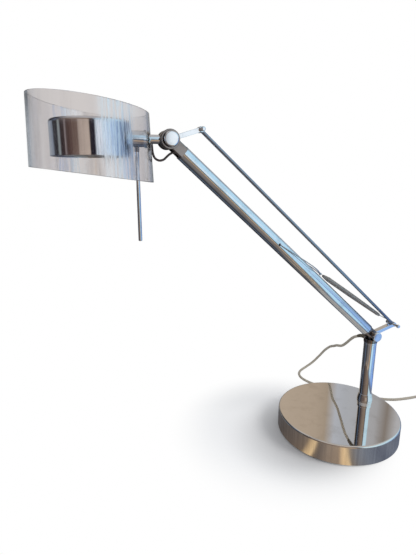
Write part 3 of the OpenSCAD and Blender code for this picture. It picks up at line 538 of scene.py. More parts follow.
def base_finish():
    """Polished steel disc: mirror top, and a turned side whose reflections run upright."""
    material, g, surface, where = new_finish("base chrome")
    height = g.split(where)["Z"]
    top = high("base_cover").z
    side = g.span(height, top - 3 * MM, top - 1 * MM, 1, 0)
    marks = g.group(handling, Vector=where, Smudges=0.35, Scratches=0.7)
    lathe_marks = g.span(g.noise(height, 9000, 3, 0.7, "1D"), 0.3, 0.7)
    top_rough = g.math("MULTIPLY", g.math("SUBTRACT", 1.0, side), g.span(marks["Mask"], 0, 1, 0.025, 0.16))
    side_rough = g.math("MULTIPLY", side, g.span(lathe_marks, 0, 1, 0.13, 0.24))
    uneven = g.span(g.noise(heading_of(g, where)[0], 90, 4, 0.7, "1D"), 0.3, 0.7)
    worn = g.mix(marks["Mask"], tone(244, 238, 230), tone(214, 206, 196))
    g.give(surface, Metallic=1, Base_Color=g.mix(g.math("MULTIPLY", side, uneven), worn, tone(222, 216, 210)),
           Roughness=g.math("ADD", side_rough, top_rough),
           Normal=bump(g, g.math("MULTIPLY", lathe_marks, side), 0.35, 0.02 * MM))
    return material


def acrylic():
    """Clear acrylic tube with the faint upright waves and threads of its drawing. At fixed headings round its axis
    the threads carry a painted reflection of a window: a stronger coat, a bluish tint and more roughness, which
    blurs what is behind them."""
    material, g, surface, where = new_finish("shade")
    drawn_out = g.stretched(where, (1, 1, 0.05))
    waves = g.noise(drawn_out, 160, 3, 0.5)
    threads = g.noise(g.vector("MULTIPLY", drawn_out, (1, 1, 0.4)), 420, 2, 0.6)
    heading, _ = heading_of(g, g.vector("SUBTRACT", where, (middle("drum").x, LOW.y, 0)))
    window_reflection_mask = g.add("SeparateColor", by_heading(g, heading, [(turn, v, v, v) for turn, v in PAINTED_WINDOW_STREAKS]))
    # Painted reflection: the threads become bright streaks only at the headings where a window would be mirrored
    painted_reflection_streaks = g.math("MULTIPLY", g.span(threads, 0.44, 0.62), window_reflection_mask.outputs["Red"])
    marks = g.group(handling, Vector=where, Smudges=0.3, Scratches=0.4)
    rough = g.span(marks["Mask"], 0, 1, 0.01, 0.09)
    g.give(surface, Base_Color=g.mix(painted_reflection_streaks, tone(252, 251, 251), tone(250, 252, 255)),
           Transmission_Weight=1, IOR=1.49, Roughness=g.math("ADD", rough, g.math("MULTIPLY", painted_reflection_streaks, 0.4)),
           Coat_IOR=4, Coat_Roughness=0.12, Coat_Weight=painted_reflection_streaks, Normal=bump(g, waves, 0.5, 0.12 * MM))
    return material


def lens_finish():
    material, g, surface, where = new_finish("lens")
    skin = g.group(grain, Vector=where, Scale=1500, Colour=tone(240, 240, 238), Variation=0.03)
    g.give(surface, Base_Color=skin["Color"], Transmission_Weight=0.9, IOR=1.5,
           Roughness=g.span(skin["Height"], 0.3, 0.7, 0.3, 0.45),
           Normal=bump(g, skin["Height"], 0.3, 0.05 * MM))
    return material


def bulb_finish():
    material, g, surface, where = new_finish("bulb glass")
    marks = g.group(handling, Vector=where, Smudges=0.4, Scratches=0.0)
    g.give(surface, Base_Color=g.mix(marks["Mask"], tone(250, 250, 250), tone(236, 236, 232)),
           Transmission_Weight=1, IOR=1.46, Roughness=g.span(marks["Mask"], 0, 1, 0.0, 0.12))
    return material


finishes = {
    "base_chrome": base_finish(), "bulb_glass": bulb_finish(), "lens": lens_finish(), "shade": acrylic()
}
for slot, *look in (
    ("steel", (178, 178, 180), 0.28, 0.4, 0.5, 0.45),
    ("chrome", (240, 242, 245), 0.06, 0.4, 0.5),
    # Painted shade: a darker copy of the chrome, for the parallel rod
    ("painted_shade_rod_chrome", (150, 156, 168), 0.08, 0.4, 0.5),
    ("joint", (146, 138, 134), 0.1, 0.4, 0.6),
    ("arm", (232, 238, 243), 0.13, 0.5, 0.6),
    ("spring_steel", (204, 196, 186), 0.38, 0.4, 0.2, 0.45),
    ("drum", (236, 236, 240), 0.03, 0.25, 0.4, 0.2),
    ("aluminium", (222, 222, 222), 0.2, 0.3, 0.3, 0.35),
):
    finishes[slot] = plated(slot.replace("_", " "), *look)
for slot, *look in (
    ("felt", (44, 43, 42), 0.92, 1800, 0.3, 0.5, 0.8),
    ("iron", (96, 96, 98), 0.7, 700, 0.25, 0.3),
    ("ceramic", (236, 231, 218), 0.35, 500, 0.05, 0.05),
    ("cable", (76, 66, 65), 0.5, 1200, 0.12, 0.06),
    ("cord", (166, 158, 144), 0.45, 1000, 0.12, 0.06),
    ("plug", (118, 115, 110), 0.5, 1400, 0.08, 0.08),
    ("nylon", (96, 88, 75), 0.5, 1400, 0.1, 0.08),
):
    finishes[slot] = moulded(slot, *look)
slot_of = {part["node"]: part["material_slot"] for part in frame["record"]["subparts"]}
for name, node in frame["nodes"].items():
    node.data.materials.clear()
    node.data.materials.append(finishes[slot_of[name]])
    node.data.shade_smooth()
    node.data.set_sharp_from_angle(angle=CAD_SHARP_ANGLE)


# Camera, at the photograph's place

CAMERA_AT = Vector((-0.4067, -0.5426, 0.4309))
CAMERA_HEADING = 17.65
CAMERA_PITCH = -14.1
SENSOR = 36
LENS = 27.06

camera_data = bpy.data.cameras.new("camera")
camera_data.sensor_width = SENSOR
camera_data.lens = LENS
camera_data.clip_start = 0.01
camera = put("camera", camera_data)
camera.location = CAMERA_AT
camera.rotation_euler = (radians(90 + CAMERA_PITCH), 0, radians(-CAMERA_HEADING))
bpy.context.scene.camera = camera


# Mains cord, in one length from the relief through the coil to the plug

CORD_D = 5 * MM
CORD_ROUTE = [
    (69, 68, 132), (74, 100, 104), (77, 123, 94), (84, 142, 84), (91, 165, 72), (96, 190, 53), (95, 207, 33),
    (85, 217, 14), (67, 217, 4), (48, 207, 2.5), (36, 191, 2.5), (34, 170, 2.5), (46, 142, 2.5),
    (73, 112, 2.5), (100, 84, 2.5), (126, 60, 2.5), (156, 44, 2.5), (190, 39, 2.5), (222, 39, 2.5),
    (252, 41, 2.5)
]
COIL_AT = Vector((285, 3, 2.5)) * MM
COIL_R = 38.8 * MM
LOOP_PITCH = CORD_D + 1.4 * MM
LAYER_PITCH = CORD_D + 0.6 * MM
TURNS_EACH = 2.75
CLIMB_TURNS = 0.5
LOOP_POINTS = 32

COLLAR_R = 11.5 * MM
COLLAR_H = 6 * MM
RELIEF_FLANGE = 1.5 * MM
RELIEF_LEN = 20 * MM
RELIEF_TIP = 1 * MM
RELIEF_DROOP = radians(30)
relief_bend_r = RELIEF_LEN / RELIEF_DROOP
relief_start = Vector((LOW.x, LOW.y + COLLAR_R + RUN, high("post_bush").z + RUN + COLLAR_H / 2))
cord_fall = Vector((0, cos(RELIEF_DROOP), -sin(RELIEF_DROOP)))


def along_relief(reach, up=0.0):
    """Point on the drooping relief: its reach from the flange's back, and a height square to its axis."""
    turn = min(max(reach / relief_bend_r, 0), RELIEF_DROOP)
    rest = reach - turn * relief_bend_r
    heading = Vector((0, cos(turn), -sin(turn)))
    bend = Vector((0, sin(turn), cos(turn) - 1)) * relief_bend_r
    return relief_start + Y * RELIEF_FLANGE + bend + heading * rest + Vector((0, sin(turn), cos(turn))) * up


cord_exit = along_relief(RELIEF_LEN + RELIEF_TIP)
coil_start = COIL_AT + Y * COIL_R
plug_at = Vector((low("plug_body").x, middle("plug_body").y, middle("plug_body").z))


def coil_point(turn):
    """Point of the coil, which winds inward, climbs to its second layer and winds outward again."""
    climbed = min(1, max(0, (turn - TURNS_EACH) / CLIMB_TURNS))
    outward = max(0, turn - TURNS_EACH - CLIMB_TURNS)
    radius = COIL_R - min(turn, TURNS_EACH) * LOOP_PITCH + outward * LOOP_PITCH
    a = radians(90 - 360 * turn)
    return COIL_AT + Vector((radius * cos(a), radius * sin(a), LAYER_PITCH * climbed))


all_turns = 2 * TURNS_EACH + CLIMB_TURNS
loop_count = round(all_turns * LOOP_POINTS)
cord_start = [cord_exit + cord_fall * (CORD_D * k) for k in range(3)]
cord_lead = [coil_start - X * (2 * CORD_D), coil_start - X * CORD_D]
cord_path = smooth_path(cord_start + [Vector(p) * MM for p in CORD_ROUTE] + cord_lead, CORD_D)
cord_path += [coil_point(all_turns * k / loop_count) for k in range(loop_count + 1)]
cord_path += smooth_path([coil_start + X * CORD_D + Z * LAYER_PITCH, plug_at - X * CORD_D, plug_at], CORD_D)

mains_cord = piece("sheathed_mains_cord", None, "cord", [tube(cord_path, CORD_D / 2, 16, X)],
                   "mains_cord", "cord_coil", soft_edges=False)
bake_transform(mains_cord)


# Cord relief, a tapered sleeve with ribs that droops with the cord

RELIEF_RIBS = 6
RIBS_FROM = 1 * MM
RIB_DEPTH = 0.7 * MM
SPIGOT_R = 2.4 * MM
SPIGOT_LEN = 5 * MM


def relief_shape():
    """Turned about a straight line first, then bent along the relief's droop."""
    flange_r = size("cord_relief").x / 2
    root_r, tip_r, least_r = flange_r * 0.9, CORD_D / 2 + 0.5 * MM, CORD_D / 2 + 0.2 * MM
    reach = RELIEF_LEN + RELIEF_TIP
    corners = [(SPIGOT_R, -SPIGOT_LEN, 0.2), (SPIGOT_R, -RELIEF_FLANGE, 0), (flange_r, -RELIEF_FLANGE, 0.3),
               (flange_r, 0, 0.3)]
    pitch = (reach - RIBS_FROM) / RELIEF_RIBS
    for k in range(RELIEF_RIBS):
        at = RIBS_FROM + pitch * k
        r = root_r + (tip_r - root_r) * k / (RELIEF_RIBS - 1)
        groove = max(least_r, r - RIB_DEPTH)
        corners += [(groove, at, 0.15), (r, at + pitch * 0.1, 0.2),
                    (r, at + pitch * 0.6, 0.2), (groove, at + pitch * 0.7, 0.15)]
    mesh = turning([*corners, (least_r, reach, 0.1)], Vector(), Y, 48)
    for vertex in mesh.vertices:
        across, along, up = vertex.co
        vertex.co = along_relief(along, up) + X * across
    return mesh


piece("ribbed_cord_relief", "swivel", "nylon", [relief_shape()], "cord_relief")


# Mains plug and its pins

PLUG_PIN_R = 2 * MM


def plug_shape():
    """Flat plug body, lofted through rounded cross-sections from the cord to the pins' face."""
    box_low, box_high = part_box("plug_body")
    reach = box_high.x - box_low.x
    wide = (box_high.y - box_low.y) / 2 - 0.2 * MM
    thick = (box_high.z - box_low.z) / 2 - 0.2 * MM
    start = CORD_D * 0.78
    neck = ((0, 0.85, 0.85), (0.01, 1, 1), (0.12, 1.1, 1.05), (0.22, 1.35, 1.2))
    grip = ((0.32, 0.48, 0.78), (0.42, 0.68, 0.9), (0.52, 0.86, 0.97), (0.62, 0.96, 1), (0.72, 1, 1),
            (0.95, 1, 1), (0.985, 0.985, 0.97), (1, 0.95, 0.9))
    profile = [(along, start * w, start * t) for along, w, t in neck]
    profile += [(along, wide * w, thick * t) for along, w, t in grip]
    rings = []
    for along, half_w, half_t in profile:
        power = 2 / (2 + 3 * min(1, along / 0.6))
        rings.append([Vector((plug_at.x + reach * along, plug_at.y + half_w * squared(c, power),
                              plug_at.z + half_t * squared(s, power))) for c, s in circle(48)])
    return loft(rings)


def pin_shape(side):
    box_low, box_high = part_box("plug_pins")
    half_gap = (box_high.y - box_low.y) / 2 - PLUG_PIN_R
    at = Vector((box_low.x, plug_at.y + side * half_gap, plug_at.z))
    return turning(rod(PLUG_PIN_R, 0, box_high.x - box_low.x, 0, 1.8), at, X, 24)


plug_body = piece("moulded_plug", "base", "plug", [plug_shape()], "plug_body")
plug_pins = piece("round_plug_pins", "base", "steel", [pin_shape(-1), pin_shape(1)], "plug_pins")


# Tie round one side of the coil

TIE_HALF_W = 2 * MM
TIE_HALF_T = 0.25 * MM
TIE_LOW = 0.45 * MM
TIE_ROOM = 0.9 * MM


def tie_shape():
    """Flat strip that runs round the coil's section in a rounded square."""
    half_w = TURNS_EACH * LOOP_PITCH / 2 + CORD_D / 2 + TIE_ROOM
    top = COIL_AT.z + LAYER_PITCH + CORD_D / 2 + TIE_ROOM
    middle_z, half_h = (TIE_LOW + top) / 2, (top - TIE_LOW) / 2
    centre_r = COIL_R - TURNS_EACH * LOOP_PITCH / 2
    centre = COIL_AT + X * centre_r + Z * (middle_z - COIL_AT.z)
    rings = []
    for c, s in circle(40):
        p = (COIL_AT + X * (centre_r + half_w * squared(c, 0.5))
             + Z * (middle_z - COIL_AT.z + half_h * squared(s, 0.5)))
        away = (p - centre).normalized()
        rings.append([p + Y * (across * TIE_HALF_W) + away * (out * TIE_HALF_T)
                      for across, out in ((-1, -1), (-1, 1), (1, 1), (1, -1))])
    return loft(rings, capped=False)


cord_tie = piece("coil_tie", "base", "nylon", [tie_shape()])


# Base and post

COVER_WALL = 1.5 * MM
POST_WALL = 1.5 * MM
FERRULE_WALL = 1.5 * MM
SWIVEL_SPIGOT_R = 7 * MM

post_at = Vector((LOW.x, LOW.y, 0))
pad_r, pad_t = size("foot_pad").x / 2, size("foot_pad").z
base_r, base_top = size("base_cover").x / 2, high("base_cover").z
turned("felt_foot_pad", "base", "felt", "foot_pad", rod(pad_r, 0, pad_t, 0.6, 0.4), Vector(), Z, 160)
turned("spun_base_cover", "base", "base_chrome", "base_cover",
       [(base_r, base_top, 3), (base_r, pad_t, 0.6), (base_r - COVER_WALL, pad_t, 0.6),
        (base_r - COVER_WALL, base_top - COVER_WALL, 1.5)], Vector(), Z, 256)

post_r = size("post").x / 2
post_in = post_r - POST_WALL
post_top = high("post").z
turned("polished_post", "base", "chrome", "post",
       [(post_in, base_top, 0), (post_r, base_top, 0), (post_r, post_top, 0.25), (post_in, post_top, 0.2)],
       post_at, Z, 128, "ring")

ferrule_r, ferrule_top = size("ferrule").x / 2, high("ferrule").z
ferrule_h = ferrule_top - base_top
turned("turned_ferrule", "base", "chrome", "ferrule",
       [(post_r + FIT, base_top, 0), (ferrule_r, base_top, 0.4), (ferrule_r, base_top + ferrule_h * 0.15, 1),
        (post_r + FERRULE_WALL, base_top + ferrule_h * 0.7, 6), (post_r + FERRULE_WALL, ferrule_top, 0.6),
        (post_r + FIT, ferrule_top, 0)], post_at, Z, 128, "ring")

flange_r, flange_top = size("post_bush").x / 2, high("post_bush").z
bush_low = low("post_bush").z
turned("turned_post_bush", "base", "chrome", "post_bush",
       [(SWIVEL_SPIGOT_R + FIT, bush_low, 0), (post_in - FIT, bush_low, 0.3), (post_in - FIT, post_top, 0),
        (flange_r, post_top, 0.4), (flange_r, flange_top, 0.6), (SWIVEL_SPIGOT_R + FIT, flange_top, 0.3)],
       post_at, Z, 128, "ring")


# Swivel block: collar with its spigot, and two cheeks that hold the lever's blade

BOLT_R = 3 * MM
EAR_R = 7.5 * MM
TONGUE_T = 10 * MM
BLADE_T = 4 * MM

collar_low = flange_top + RUN
collar_top = collar_low + COLLAR_H
swivel_low = low("swivel_block").z


def upright(centre):
    """Placement of a plate in a plane parallel to XZ: its x along X and its y up."""
    return Matrix.Translation(centre) @ Matrix.Rotation(radians(90), 4, "X")


def cheek(across):
    foot = -(LOW.z - collar_top) - 0.2 * MM
    outline = [(EAR_R, foot), *arc((0, 0), EAR_R, 0, 180, 32), (-EAR_R, foot)]
    return plate(outline, [hole((0, 0), BOLT_R + FIT)], (TONGUE_T - BLADE_T) / 2, upright(LOW + Y * across))


piece("swivel_block_turned", "swivel", "joint",
      [turning([(SWIVEL_SPIGOT_R, swivel_low, 0.6), (SWIVEL_SPIGOT_R, collar_low, 0.2),
                (COLLAR_R, collar_low, 0.5), (COLLAR_R, collar_top, 0.8)], post_at, Z, 128),
       cheek((TONGUE_T + BLADE_T) / 4), cheek(-(TONGUE_T + BLADE_T) / 4)],
      "swivel_block")


# Bolts, knobs and pins

BOLT_HEAD_H = 4.2 * MM
SOCKET_R = 2.3 * MM
KNOB_HUB_R = 5 * MM
PIN_R = 2 * MM
PIN_END = 3.5 * MM


def bolt(name, body, node, centre):
    """Bolt along Y, its head with a socket on the far side."""
    near, far = low(node).y - centre.y, high(node).y - centre.y
    head_r, head_from, socket_from = size(node).x / 2, far - BOLT_HEAD_H, far - BOLT_HEAD_H * 0.6
    turned(name, body, "chrome", node,
           [(BOLT_R, near, 0.2), (BOLT_R, head_from, 0.2), (head_r, head_from, 0.3), (head_r, far, 0.7),
            (SOCKET_R, far, 0.2), (SOCKET_R, socket_from, 0)], centre, Y, 64)


def knob(name, node, centre, hub_len):
    """Domed knob with a bored hub, on the body of its node's name. Its heights run out from the joint."""
    reach, disc_r = size(node).y, size(node).x / 2
    turned(name, node, "chrome", node,
           [(BOLT_R + FIT, 0, 0), (KNOB_HUB_R, 0, 0.3), (KNOB_HUB_R, hub_len, 0.2), (disc_r, hub_len, 0.6),
            (disc_r, hub_len + (reach - hub_len) * 0.78, 0.9), (disc_r * 0.88, reach - 0.12 * MM, 1.2),
            (0, reach, 0)], centre + NEAR * (centre.y - high(node).y), NEAR, 96, "open")


def cross_pin(name, body, node, centre):
    """Pin along Y with a round end on each side."""
    half, end_r = size(node).y / 2, size(node).x / 2
    turned(name, body, "chrome", node,
           [(end_r, -half, 1), (end_r, PIN_END - half, 0.3), (PIN_R, PIN_END - half, 0.1),
            (PIN_R, half - PIN_END, 0.1), (end_r, half - PIN_END, 0.3), (end_r, half, 1)], centre, Y, 48)


bolt("lower_hinge_bolt", "swivel", "lower_bolt", LOW)
bolt("upper_hinge_bolt", "arm", "upper_bolt", HIGH)
knob("lower_clamp_knob", "lower_knob", LOW, 4.5 * MM)
knob("upper_clamp_knob", "upper_knob", HIGH, 2 * MM)
cross_pin("lower_lever_pin", "swivel", "lower_pin", LOW_PIN)
cross_pin("upper_lever_pin", "hub", "upper_pin", HIGH_PIN)


# Levers

LEVER_W = 9 * MM
LEVER_H = 6 * MM
LEVER_PLATE_T = 2 * MM
TIP_R = 3.8 * MM
FORK_SLOT = 5.6 * MM
FORK_DEPTH = 11 * MM
lever_rise = atan2(LEVER.z, LEVER.x)
lever_len = LEVER.length


def tip_outline(length, radius):
    """Round tip of a lever's bar, which lies along the x axis."""
    turn = 180 - degrees(asin(LEVER_H / 2 / radius))
    return arc((length, 0), radius, -turn, turn, 32)


def link_outline(length, eye_r, tip_r):
    """Outline of a lever: a round eye at the origin, a straight bar and a round tip."""
    turn = degrees(asin(LEVER_H / 2 / eye_r))
    return arc((0, 0), eye_r, turn, 360 - turn, 40) + tip_outline(length, tip_r)


def along_lever(pivot_at, across):
    return upright(pivot_at + Y * across) @ Matrix.Rotation(lever_rise, 4, "Z")


eye_hole, tip_hole = hole((0, 0), BOLT_R + FIT), hole((lever_len, 0), PIN_R + FIT)
plate_off = abs(middle("lever_near").y - HIGH.y)
for name, node, side in (("near_lever_plate", "lever_near", -1), ("far_lever_plate", "lever_far", 1)):
    piece(name, "hub", "chrome",
          [plate(link_outline(lever_len, EAR_R, TIP_R), [eye_hole, tip_hole], LEVER_PLATE_T,
                 along_lever(HIGH, side * plate_off))], node)

bar_from = EAR_R + 0.2 * MM
bar_to = lever_len - FORK_DEPTH
tine_t = (LEVER_W - FORK_SLOT) / 2
tine_from = bar_to - 1 * MM
half_h = LEVER_H / 2
blade_outline = link_outline(bar_from + 2 * MM, EAR_R - 0.2 * MM, half_h)
bar_outline = [(bar_from, -half_h), (bar_to, -half_h), (bar_to, half_h), (bar_from, half_h)]
tine_outline = [(tine_from, half_h), (tine_from, -half_h), *tip_outline(lever_len, TIP_R)]
piece("slotted_lower_lever", "swivel", "chrome",
      [plate(blade_outline, [eye_hole], BLADE_T - 2 * FIT, along_lever(LOW, 0)),
       plate(bar_outline, [], LEVER_W, along_lever(LOW, 0), 0.5 * MM),
       *[plate(tine_outline, [tip_hole], tine_t, along_lever(LOW, side * (FORK_SLOT + tine_t) / 2))
         for side in (-1, 1)]],
      "lower_lever")


# Arm tube, with the holes that take the yoke's ends, and its cable

TUBE_R = 10 * MM
TUBE_WALL = 1.2 * MM
TUBE_FROM = 16 * MM
HIGH_REACH = 26 * MM
YOKE_FROM = 252 * MM
YOKE_TO = 158 * MM
YOKE_WIRE = 1.6 * MM
CABLE_DROP = 5 * MM
CABLE_D = 3 * MM
tube_to = ARM_LEN - HIGH_REACH

tube_outline = bush(TUBE_R - TUBE_WALL, TUBE_R, TUBE_FROM, tube_to, 0.2, 0.4)
tube_shell = turning(tube_outline, LOW, ARM_DIR, 128, "ring")
yoke_drill = turning(rod(YOKE_WIRE + SOFT, -2 * TUBE_R, 2 * TUBE_R), in_arm(YOKE_FROM, 0, 0), Y, 48)
piece("arm_tube_drawn", "arm", "arm", [drilled(tube_shell, yoke_drill)], "arm_tube")
inner_cable = [in_arm(along, 0, -CABLE_DROP) for along in (TUBE_FROM, tube_to)]
piece("cable_in_arm", "arm", "cable", [tube(inner_cable, CABLE_D / 2, 16, ARM_UP)], "arm_cable")


# Parallel rod with its two eyes

ROD_R = 2.5 * MM
EYE_R = 4 * MM
LOW_EYE_T = 5.22 * MM
HIGH_EYE_T = 10.4 * MM
PIVOT_PLAY = 0.15 * MM
rod_from = EYE_R - 0.8 * MM


def rod_eye(centre, thick, bore_r):
    return turning(bush(bore_r, EYE_R, -thick / 2, thick / 2, 0.15, 0.4), centre, Y, 64, "ring")


# The rod wears the darker copy of chrome, painted shade
piece("parallel_rod_with_eyes", "rod", "chrome",
      [turning(rod(ROD_R, rod_from, ARM_LEN - rod_from), LOW_PIN, ARM_DIR, 48),
       rod_eye(LOW_PIN, LOW_EYE_T, PIN_R + FIT), rod_eye(HIGH_PIN, HIGH_EYE_T, PIN_R + PIVOT_PLAY)],
      "parallel_rod", finish="painted_shade_rod_chrome")


# Spring and its wire yoke

WIRE_D = 1.2 * MM
SPRING_D = 8 * MM
CURL_LEN = 148 * MM
CURLS = 112
CURL_POINTS = 14
HOOK_TURN = 250
HOOK_STEPS = 20
YOKE_TOP = TUBE_R + SPRING_D / 2 - 1 * MM
yoke_side = TUBE_R + YOKE_WIRE / 2 + SOFT
yoke_bend = YOKE_WIRE + WIRE_D / 2 + 0.4 * MM
yoke_leg = YOKE_FROM - YOKE_TO
half_yoke = [
    (YOKE_FROM, TUBE_R * 0.82, 0), (YOKE_FROM, yoke_side - YOKE_WIRE, 0),
    (YOKE_FROM - YOKE_WIRE * 0.3, yoke_side - YOKE_WIRE * 0.3, YOKE_WIRE * 0.05),
    (YOKE_FROM - YOKE_WIRE, yoke_side, YOKE_WIRE * 0.1),
    *[(YOKE_FROM - yoke_leg * a, yoke_side * b, YOKE_TOP * c)
      for a, b, c in ((0.3, 1, 0.35), (0.55, 1, 0.67), (0.74, 0.9, 0.88))],
    (YOKE_TO + yoke_leg * 0.12, yoke_side * 0.52, YOKE_TOP),
    *[(YOKE_TO + yoke_bend * a, yoke_bend * b, YOKE_TOP) for a, b in ((1.6, 1), (0.6, 0.87), (0.15, 0.5))]
]
yoke_route = [*half_yoke, (YOKE_TO, 0, YOKE_TOP), *[(a, -b, c) for a, b, c in reversed(half_yoke)]]
yoke_path = smooth_path([in_arm(*p) for p in yoke_route], 1 * MM)
piece("bent_wire_yoke", "arm", "steel", [tube(yoke_path, YOKE_WIRE / 2, 14, ARM_UP)], "yoke",
      soft_edges=False)

spring_from = in_arm(YOKE_TO, 0, YOKE_TOP)
hook_at = LOW_PIN + Y * ((LEVER_W / 2 + size("lower_pin").y / 2 - PIN_END) / 2)
spring_dir = (hook_at - spring_from).normalized()
spring_len = (hook_at - spring_from).length
spring_up = spring_dir.cross(Y).normalized() * -1
spring_side = spring_dir.cross(spring_up)
hook_r = PIN_R + WIRE_D / 2 + 0.2 * MM
loop_r = YOKE_WIRE / 2 + WIRE_D / 2 + 0.2 * MM
coil_from = loop_r + SPRING_D / 2


def spring_point(along, up, side):
    return spring_from + spring_dir * along + spring_up * up + spring_side * side


def spring_path_points():
    """Loop round the yoke, turns that taper at both ends, and the hook on the lower pin."""
    mean_r = (SPRING_D - WIRE_D) / 2
    total = CURLS * CURL_POINTS
    path = []
    for i in range(HOOK_STEPS + 1):
        t = radians(HOOK_TURN * (1 - i / HOOK_STEPS))
        path.append(spring_point(-loop_r * sin(t), -loop_r * cos(t), 0))
    for k in range(total + 1):
        t = tau * k / CURL_POINTS
        below, above = (total - k) / CURL_POINTS, k / CURL_POINTS
        r = mean_r * min(1, below, above, 0.45 + above / 18, 0.45 + below / 20, 0.68 + below / 185)
        path.append(spring_point(coil_from + CURL_LEN * k / total, -r * cos(t), r * sin(t)))
    for i in range(HOOK_STEPS + 1):
        t = radians(HOOK_TURN * i / HOOK_STEPS)
        path.append(spring_point(spring_len + hook_r * sin(t), -hook_r * cos(t), 0))
    return path


spring = piece("tension_spring", None, "spring_steel", [tube(spring_path_points(), WIRE_D / 2, 8, Y)],
               "spring", soft_edges=False)
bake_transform(spring)


# Upper joint: ringed barrel caps and the core between them

core_t, core_r = size("hinge_hub").y, size("hinge_hub").z / 2
barrel_r, cap_t = size("cap_near").x / 2, size("cap_near").y
ring_t = cap_t / 3
groove_r = barrel_r - 0.6 * MM
cap_outline = [
    (BOLT_R + FIT, 0, 0), (barrel_r, 0, 0.3), (barrel_r, ring_t, 0.3), (groove_r, ring_t + 0.1 * MM, 0.1),
    (groove_r, 2 * ring_t - 0.1 * MM, 0.1), (barrel_r, 2 * ring_t, 0.3), (barrel_r, cap_t, 0.5),
    (barrel_r - 2 * MM, cap_t, 0.2), (barrel_r - 2.5 * MM, cap_t - 0.4 * MM, 0.2),
    (BOLT_R + FIT, cap_t - 0.4 * MM, 0)
]
for name, node, side, inner_face in (
    ("near_barrel_cap", "cap_near", -1, high("cap_near").y),
    ("far_barrel_cap", "cap_far", 1, low("cap_far").y),
):
    start = HIGH + Y * side * abs(inner_face - HIGH.y)
    turned(name, "arm", "joint", node, cap_outline, start, Y * side, 96, "ring")
turned("barrel_core", "hub", "joint", "hinge_hub",
       bush(BOLT_R + FIT, core_r, -core_t / 2, core_t / 2, 0, 0.4), HIGH, Y, 96, "ring")


# Neck and head. The outlines turned about the neck's line have places along X as their heights.

NECK_LINE = Vector((0, LOW.y, HIGH.z))
NECK_R = 5.75 * MM
NECK_WALL = 2 * MM
NECK_SPIGOT_R = 3.5 * MM
SLEEVE_R = 10 * MM
NOSE_R = 7.25 * MM
NIPPLE_R = NECK_R + 0.8 * MM
FLANGE_T = 2 * MM
SHADE_INNER_R = 70 * MM
DRUM_R = size("drum").x / 2
DRUM_WALL = 1.2 * MM
head_at = Vector((middle("drum").x, LOW.y, HIGH.z))
shade_wall_x = high("head_sleeve").x
neck_end = low("neck_tube").x
neck_from = HIGH.x - core_r - 0.5 * MM
drum_low, drum_top = low("drum").z, high("drum").z
sleeve_from = head_at.x + DRUM_R + 0.2 * MM
sleeve_in = low("head_sleeve").x
sleeve_flange_r = size("head_sleeve").y / 2
flange_at = shade_wall_x - 3.2 * MM - (sleeve_flange_r ** 2) / (2 * SHADE_INNER_R)

turned("drawn_neck_tube", "hub", "chrome", "neck_tube",
       [(NECK_R - NECK_WALL, neck_end + 1 * MM, 0), (NECK_R - NECK_WALL, neck_end, 0.2),
        (NECK_R, neck_end, 0.3), (NECK_R, neck_from, 0.4), (NECK_SPIGOT_R, neck_from, 0.2),
        (NECK_SPIGOT_R, high("neck_tube").x, 0)], NECK_LINE, X)
turned("turned_head_sleeve", "head", "chrome", "head_sleeve",
       [(NECK_R + FIT, sleeve_in, 0), (NIPPLE_R, sleeve_in, 0.2), (NIPPLE_R, sleeve_from, 0),
        (SLEEVE_R, sleeve_from, 0.4), (SLEEVE_R, flange_at - FLANGE_T, 0.3),
        (sleeve_flange_r, flange_at - FLANGE_T, 0.4), (sleeve_flange_r, flange_at, 0.4),
        (NOSE_R, flange_at, 0.1), (NOSE_R, shade_wall_x, 0.4), (NECK_R + FIT, shade_wall_x, 0.2)],
       NECK_LINE, X, 128, "ring")
turned("polished_drum", "head", "drum", "drum",
       [(DRUM_R, drum_top, 4), (DRUM_R, drum_low, 0.5), (DRUM_R - DRUM_WALL, drum_low, 0.3),
        (DRUM_R - DRUM_WALL, drum_top - DRUM_WALL, 2.8)], Vector((head_at.x, head_at.y, 0)), Z, 256)


# Clear shade: a tube that widens downward, both rims cut at a slope, with a bore for the sleeve

SHADE_R = 73.3 * MM
SHADE_WALL = 3 * MM
SHADE_FLARE = 0.038
SHADE_DROP = 44.6 * MM
SHADE_H = 83 * MM
RIM_SLOPE = radians(7.4)
SHADE_STEPS = 256
SHADE_ROWS = 24
RIM_ROUND = 0.5 * MM


def shade_ring(inset, share, lift):
    """Ring between the sloping rims at its share of the height, inset from the outside and lifted."""
    ring = []
    for c, s in circle(SHADE_STEPS):
        slope = tan(RIM_SLOPE) * (SHADE_R * c)
        bottom, top = -SHADE_DROP - slope, SHADE_H - SHADE_DROP - slope
        z = bottom + (top - bottom) * share + lift
        r = SHADE_R - SHADE_FLARE * z - inset
        ring.append(head_at + Vector((r * c, r * s, z)))
    return ring


def shade_shape():
    """Rings up the outside, over the upper rim, down the inside and round the lower rim."""
    lifts = {0: RIM_ROUND, SHADE_ROWS: -RIM_ROUND}
    quarter = [radians(90 * k / 3) for k in range(4)]
    rim = [(RIM_ROUND * (1 - cos(a)), RIM_ROUND * (1 - sin(a))) for a in quarter]
    rings = [shade_ring(0, k / SHADE_ROWS, lifts.get(k, 0)) for k in range(SHADE_ROWS + 1)]
    rings += [shade_ring(a, 1, -b) for a, b in rim[1:]]
    rings += [shade_ring(SHADE_WALL - b, 1, -a) for a, b in rim]
    rings += [shade_ring(SHADE_WALL, k / SHADE_ROWS, lifts.get(k, 0)) for k in reversed(range(SHADE_ROWS))]
    rings += [shade_ring(SHADE_WALL - a, 0, b) for a, b in rim[1:]]
    rings += [shade_ring(b, 0, a) for a, b in rim[:-1]]
    drill = rod(NOSE_R + RUN, head_at.x + SHADE_R * 0.5, head_at.x + SHADE_R * 1.5)
    return drilled(loft(rings, capped=False), turning(drill, NECK_LINE, X, 64))


piece("acrylic_shade", "head", "shade", [shade_shape()], "shade")


# Handle

